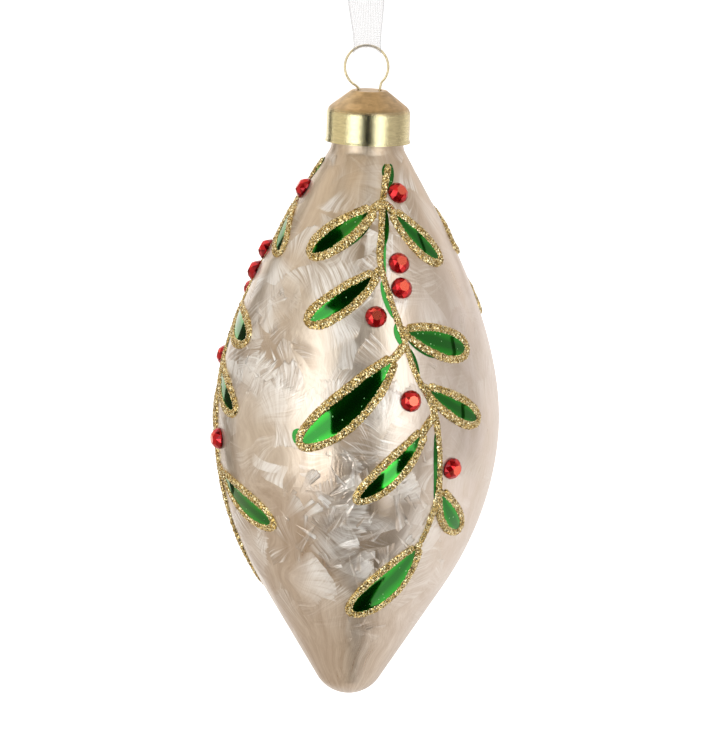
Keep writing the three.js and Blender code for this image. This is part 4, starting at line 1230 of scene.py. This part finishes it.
def ribbon_rows(sizes, fittings):
    """The grids of the outside and the inside of the ribbon's loop: rows across it that go down in
    front, round the wire, and up behind."""
    u = np.linspace(-1, 1, 21)
    inner_wire = fittings.ring_radius - fittings.wire_radius - GAP * MM

    def half_width(drop):
        """Gathered in the knot, spread below it, and gathered a little again in the ring."""
        share = smoothstep(drop, sizes.eye_length, sizes.hang_drop)
        in_knot = 1 - smoothstep(drop, -0.5 * MM, 5 * MM)
        return (sizes.width * (1 - 0.4 * in_knot) + (sizes.gathered_width - sizes.width) * share) / 2

    def turn_radius(x):
        return fittings.ring_radius - np.sqrt(inner_wire ** 2 - x ** 2)

    def pleat(drop):
        """Soft folds that deepen towards the ring, and deeper ones that run out of the knot."""
        near_ring = 0.05 * MM * smoothstep(drop, 9 * MM, sizes.hang_drop) * (1 + np.cos(7.2 * u + 0.6))
        return near_ring + 0.3 * MM * (1 - smoothstep(drop, 0, 6 * MM)) * (1 + np.cos(11 * u + 0.4))

    def run_point(drop, side, layer):
        x = u * half_width(drop)
        eye = 0.0
        if 0 < drop < sizes.eye_length:
            eye = sizes.eye_half_gap * math.sqrt(math.sin(math.pi * drop / sizes.eye_length))
        opening = smoothstep(drop, sizes.hang_drop - sizes.opening_drop, sizes.hang_drop)
        gap = GAP * MM + (turn_radius(x) - GAP * MM) * opening + eye + pleat(drop)
        return np.stack([x, side * (gap + layer), np.full_like(x, -drop)], 1)

    rows = []
    inside_knot = 2.6 * MM
    drops = np.linspace(-inside_knot, sizes.hang_drop, 64, endpoint=False)
    for drop in drops:
        rows.append((run_point(drop, -1, sizes.cloth), run_point(drop, -1, 0)))
    x = u * half_width(sizes.hang_drop)
    for angle in np.linspace(-math.pi / 2, math.pi / 2, 17):
        pair = []
        for layer in (sizes.cloth, 0):
            radius = turn_radius(x) + pleat(sizes.hang_drop) + layer
            height = -sizes.hang_drop - radius * math.cos(angle)
            pair.append(np.stack([x, radius * math.sin(angle), height], 1))
        rows.append(tuple(pair))
    for drop in drops[::-1]:
        rows.append((run_point(drop, 1, sizes.cloth), run_point(drop, 1, 0)))
    return np.swapaxes(rows, 0, 1)


def ribbon_knot(sizes, material):
    """The overhand knot: a wrap of gathered ribbon with its folds running round it."""
    rings, sides = 25, 72
    vertices, uv = [], []
    for i in range(rings):
        rise = -1 + 2 * i / (rings - 1)
        swell = math.sqrt(max(1 - (0.97 * rise) ** 2, 0))
        for k in range(sides):
            angle = 2 * math.pi * k / sides
            fold = 1 + 0.05 * math.sin(9 * rise + 2.2 * math.sin(angle)) + 0.03 * math.sin(21 * rise + angle)
            vertices.append((
                sizes.knot_width / 2 * swell * fold * math.cos(angle) * 0.97,
                sizes.knot_depth / 2 * swell * fold * math.sin(angle) * 0.97,
                GAP * MM + sizes.knot_height / 2 * (1 + rise + 0.1 * math.sin(angle) * swell),
            ))
            uv.append((rise * 3, k * 0.3))
    faces = grid_faces(rings, sides, joined=True)
    faces.append(list(range(sides))[::-1])
    faces.append(list(range((rings - 1) * sides, rings * sides)))
    return mesh_object("ribbon_knot", leaned(vertices, sizes), faces, [material], uv=uv)


def ribbon_tail(sizes, material, side):
    """One cut end above the knot, fanned out and cut on a slant."""
    rows, across = 24, 15
    lean, root = math.radians(20), GAP * MM + 0.6 * sizes.knot_height
    u = np.linspace(-1, 1, across)
    over, under, uv = [], [], []
    for share in np.linspace(0, 1, rows):
        climb = share * sizes.tail_length
        x = u * sizes.width * (0.26 + 0.22 * share)
        curl = side * (0.6 + 1.5 * share) * MM + 0.35 * MM * share * np.cos(5 * u + 2 * share + side)
        for grid, layer in ((over, sizes.cloth), (under, 0)):
            grid.append(np.stack([
                x * math.cos(lean) + side * climb * math.sin(lean),
                curl + layer,
                root + climb * math.cos(lean) - side * x * math.sin(lean) + 0.35 * x * share,
            ], 1))
        uv += [(p * sizes.width / MM / 2, climb / MM) for p in u]
    vertices, faces = closed_sheet(np.array(over), np.array(under))
    name = f"ribbon_tail_{'left' if side < 0 else 'right'}"
    return mesh_object(name, leaned(vertices, sizes), faces, [material], uv=uv * 2)


# Stage

# Azimuth from the camera and elevation, in degrees: name, left, right, low, high
SOFTBOXES = [
    ("softbox_left", -56, -21, -31, 33),
    ("softbox_right", 19, 47, -13, 46),
]
# Bright cards at the foot of the right softbox and in the left one, and how much they outshine it
GLARES = [
    ("softbox_right_foot", 24, 34, -38, -13, 1.35),
    ("softbox_left_lamp", -34, -18, -27, -16, 2.3),
]
# Cards that only reflections see, in the same order, and their colour and strength
CARDS = [
    ("card_front", -21, 19, -28, 34, "#1B1A14", 1.0),
    ("card_front_high", -74, 19, 33, 47, "#221F18", 1.0),
    ("card_front_higher", -74, -6, 47, 62, "#F6E2C6", 1.1),
    ("card_front_low", -36, 56, -62, -13, "#2A251D", 1.0),
    ("card_front_lowest", -40, 56, -90, -62, "#E6D8C6", 1.2),
    ("card_left", -114, -56, -22, 62, "#E6DACB", 1.0),
    ("card_left_low", -150, -40, -90, -22, "#E0D1C2", 1.0),
    ("card_left_far", -180, -114, -22, 62, "#FFF8F2", 1.25),
    ("card_right_high", -6, 49, 46, 72, "#74634A", 1.0),
    ("card_right", 47, 120, -18, 62, "#CFC5BF", 1.0),
    ("card_right_low", 56, 120, -90, -18, "#FFF8F4", 1.1),
    ("card_back_high", 120, 172, 0, 62, "#CFC3BB", 1.0),
    ("card_back", 120, 210, -90, 62, "#FFF6F0", 1.0),
    ("card_over", 0, 360, 62, 90, "#E8D6BC", 1.0),
]
# Narrow dark flags that stand before the cards
FLAGS = [
    ("flag_left", -139, -120, -22, 24, "#46443A", 1.0),
    ("flag_left_post", -61, -58, -22, 27, "#4A4336", 1.0),
    ("flag_right_post", 92, 96, -18, 40, "#5A5244", 1.0),
    ("flag_low", -8, 54, -79, -61, "#1E1B14", 1.0),
]


# How far the lamps, their glare, the flags and the cards stand from the middle, metres
LAMP_DISTANCE, GLARE_DISTANCE, FLAG_DISTANCE, CARD_DISTANCE = 1.3, 2.1, 2.12, 2.2
APART = 0.01  # keeps cards that overlap from lying in one another


class FINIAL_OT_stage(FinialOperator, bpy.types.Operator):
    """Set up the floor, softboxes, reflector cards and camera"""
    bl_idname = "finial.stage"
    bl_label = "Studio stage"

    def build(self, scene):
        stage = scene.finial_stage
        scene.view_settings.view_transform = "Standard"
        middle = Vector((AXIS_X - 0.0009, 0, GLASS_TIP + 0.090))
        for name, *area in SOFTBOXES:
            softbox(name, *area, stage.softbox, middle)
            reflector_card(f"{name}_glare", *area, "#FFFFFF", stage.glare, GLARE_DISTANCE, middle)
        for i, (name, *area, brighter) in enumerate(GLARES):
            reflector_card(name, *area, "#FFFFFF", brighter * stage.glare, GLARE_DISTANCE - APART * i, middle)
        for i, card in enumerate(CARDS):
            reflector_card(*card, CARD_DISTANCE + APART * i, middle)
        for flag in FLAGS:
            reflector_card(*flag, FLAG_DISTANCE, middle)
        white_room(scene, stage.fill)
        pale_floor(GLASS_TIP - stage.floor_drop)
        camera = in_scene("camera", bpy.data.cameras.new("camera"))
        tilt = stage.camera_height
        camera.location = middle + stage.camera_distance * Vector((0, -math.cos(tilt), math.sin(tilt)))
        camera.rotation_mode = "QUATERNION"
        facing = (middle - camera.location).to_track_quat("-Z", "Y")
        camera.rotation_quaternion = facing @ Matrix.Rotation(stage.camera_roll, 3, "Z").to_quaternion()
        camera.data.lens = stage.lens
        camera.data.clip_start, camera.data.clip_end = 0.05, 50
        scene.camera = camera


def studio_direction(azimuth, elevation):
    a, e = math.radians(azimuth), math.radians(elevation)
    return Vector((math.sin(a) * math.cos(e), -math.cos(a) * math.cos(e), math.sin(e)))


def softbox(name, start, end, low, high, radiance, middle):
    """A tall rectangular area lamp that fills the given range of directions."""
    centre = studio_direction((start + end) / 2, (low + high) / 2)
    lamp = bpy.data.lights.new(name, "AREA")
    lamp.shape = "RECTANGLE"
    lamp.size = 2 * LAMP_DISTANCE * math.tan(math.radians(end - start) / 2)
    lamp.size_y = 2 * LAMP_DISTANCE * math.tan(math.radians(high - low) / 2)
    lamp.energy = radiance * math.pi * lamp.size * lamp.size_y
    thing = in_scene(name, lamp)
    thing.location = middle + LAMP_DISTANCE * centre
    thing.rotation_mode = "QUATERNION"
    thing.rotation_quaternion = (-centre).to_track_quat("-Z", "Y")
    thing.visible_camera = thing.visible_glossy = False


def reflector_card(name, start, end, low, high, colour, strength, distance, middle):
    """A curved card of plain colour that stands behind the lamps and shows only in reflections."""
    rows, columns = 8, max(6, int((end - start) / 6))
    points = [middle + distance * studio_direction(azimuth, np.clip(elevation, -89.9, 89.9))
              for elevation in np.linspace(low, high, rows + 1)
              for azimuth in np.linspace(start, end, columns + 1)]
    material = bpy.data.materials.new(name)
    material.use_nodes = True
    tree = material.node_tree
    tree.nodes.remove(tree.nodes["Principled BSDF"])
    glow = add_node(tree, "Emission", linear(colour), strength)
    tree.links.new(glow.outputs[0], tree.nodes["Material Output"].inputs["Surface"])
    card = mesh_object(name, [tuple(p) for p in points], grid_faces(rows + 1, columns + 1), [material])
    card.visible_camera = card.visible_diffuse = card.visible_shadow = False
    card.visible_transmission = card.visible_volume_scatter = False


def white_room(scene, fill):
    """A world that is white to the camera, reflections and glass, and a plain level to matt colours."""
    world = bpy.data.worlds.new("white_room")
    scene.world = world
    world.use_nodes = True
    tree = world.node_tree
    path = add_node(tree, "LightPath")
    rays = [path.outputs[f"Is {kind} Ray"] for kind in ("Camera", "Glossy", "Transmission")]
    seen = add_node(tree, "Math", rays[0], rays[1], operation="MAXIMUM")
    seen = add_node(tree, "Math", seen, rays[2], operation="MAXIMUM")
    level = add_node(tree, "MapRange", seen, 0.0, 1.0, fill, 1.0)
    set_sockets(tree, tree.nodes["Background"], {"Color": (1, 1, 1, 1), "Strength": level})


def pale_floor(height):
    """A matt white floor that keeps the object's shadow and looks as white as the room."""
    reach, steps = 4.0, 16
    grid = np.linspace(-reach, reach, steps + 1)
    points = [(x, y, height) for y in grid for x in grid]
    material, add, surface = new_material("matt_white_floor")
    lift = add("Math", add("LightPath").outputs["Is Camera Ray"], 0.8, operation="MULTIPLY")
    surface({"Base Color": linear("#EFEDEA"), "Roughness": 0.9, "Specular IOR Level": 0.2,
             "Emission Color": (1, 1, 1, 1), "Emission Strength": lift})
    floor = mesh_object("floor", points, grid_faces(steps + 1, steps + 1), [material])
    floor.visible_glossy = False


# Add-on

PROPERTY_GROUPS = {
    "finial_glass": FINIAL_PG_glass,
    "finial_fittings": FINIAL_PG_fittings,
    "finial_ribbon": FINIAL_PG_ribbon,
    "finial_sprig": FINIAL_PG_sprig,
    "finial_stage": FINIAL_PG_stage,
}
OPERATORS = [
    FINIAL_OT_stage, FINIAL_OT_glass, FINIAL_OT_cap, FINIAL_OT_hanger, FINIAL_OT_ribbon,
    FINIAL_OT_leaves, FINIAL_OT_glitter, FINIAL_OT_stones,
]


class FINIAL_PT_panel(bpy.types.Panel):
    """Lists the ornament's pieces and their sizes"""
    bl_idname = "FINIAL_PT_panel"
    bl_label = "Glass finial ornament"
    bl_space_type = "VIEW_3D"
    bl_region_type = "UI"
    bl_category = "Ornament"

    def draw(self, context):
        for operator in OPERATORS:
            self.layout.operator(operator.bl_idname)
        for name, group in PROPERTY_GROUPS.items():
            box = self.layout.box()
            for key in group.__annotations__:
                box.prop(getattr(context.scene, name), key)


def register():
    for group in PROPERTY_GROUPS.values():
        bpy.utils.register_class(group)
    for name, group in PROPERTY_GROUPS.items():
        setattr(bpy.types.Scene, name, bpy.props.PointerProperty(type=group))
    for operator in OPERATORS:
        bpy.utils.register_class(operator)
    bpy.utils.register_class(FINIAL_PT_panel)


def unregister():
    bpy.utils.unregister_class(FINIAL_PT_panel)
    for operator in reversed(OPERATORS):
        bpy.utils.unregister_class(operator)
    for name in PROPERTY_GROUPS:
        delattr(bpy.types.Scene, name)
    for group in PROPERTY_GROUPS.values():
        bpy.utils.unregister_class(group)


def main():
    register()
    for operator in OPERATORS:
        category, name = operator.bl_idname.split(".")
        getattr(getattr(bpy.ops, category), name)()


if __name__ == "__main__":
    main()
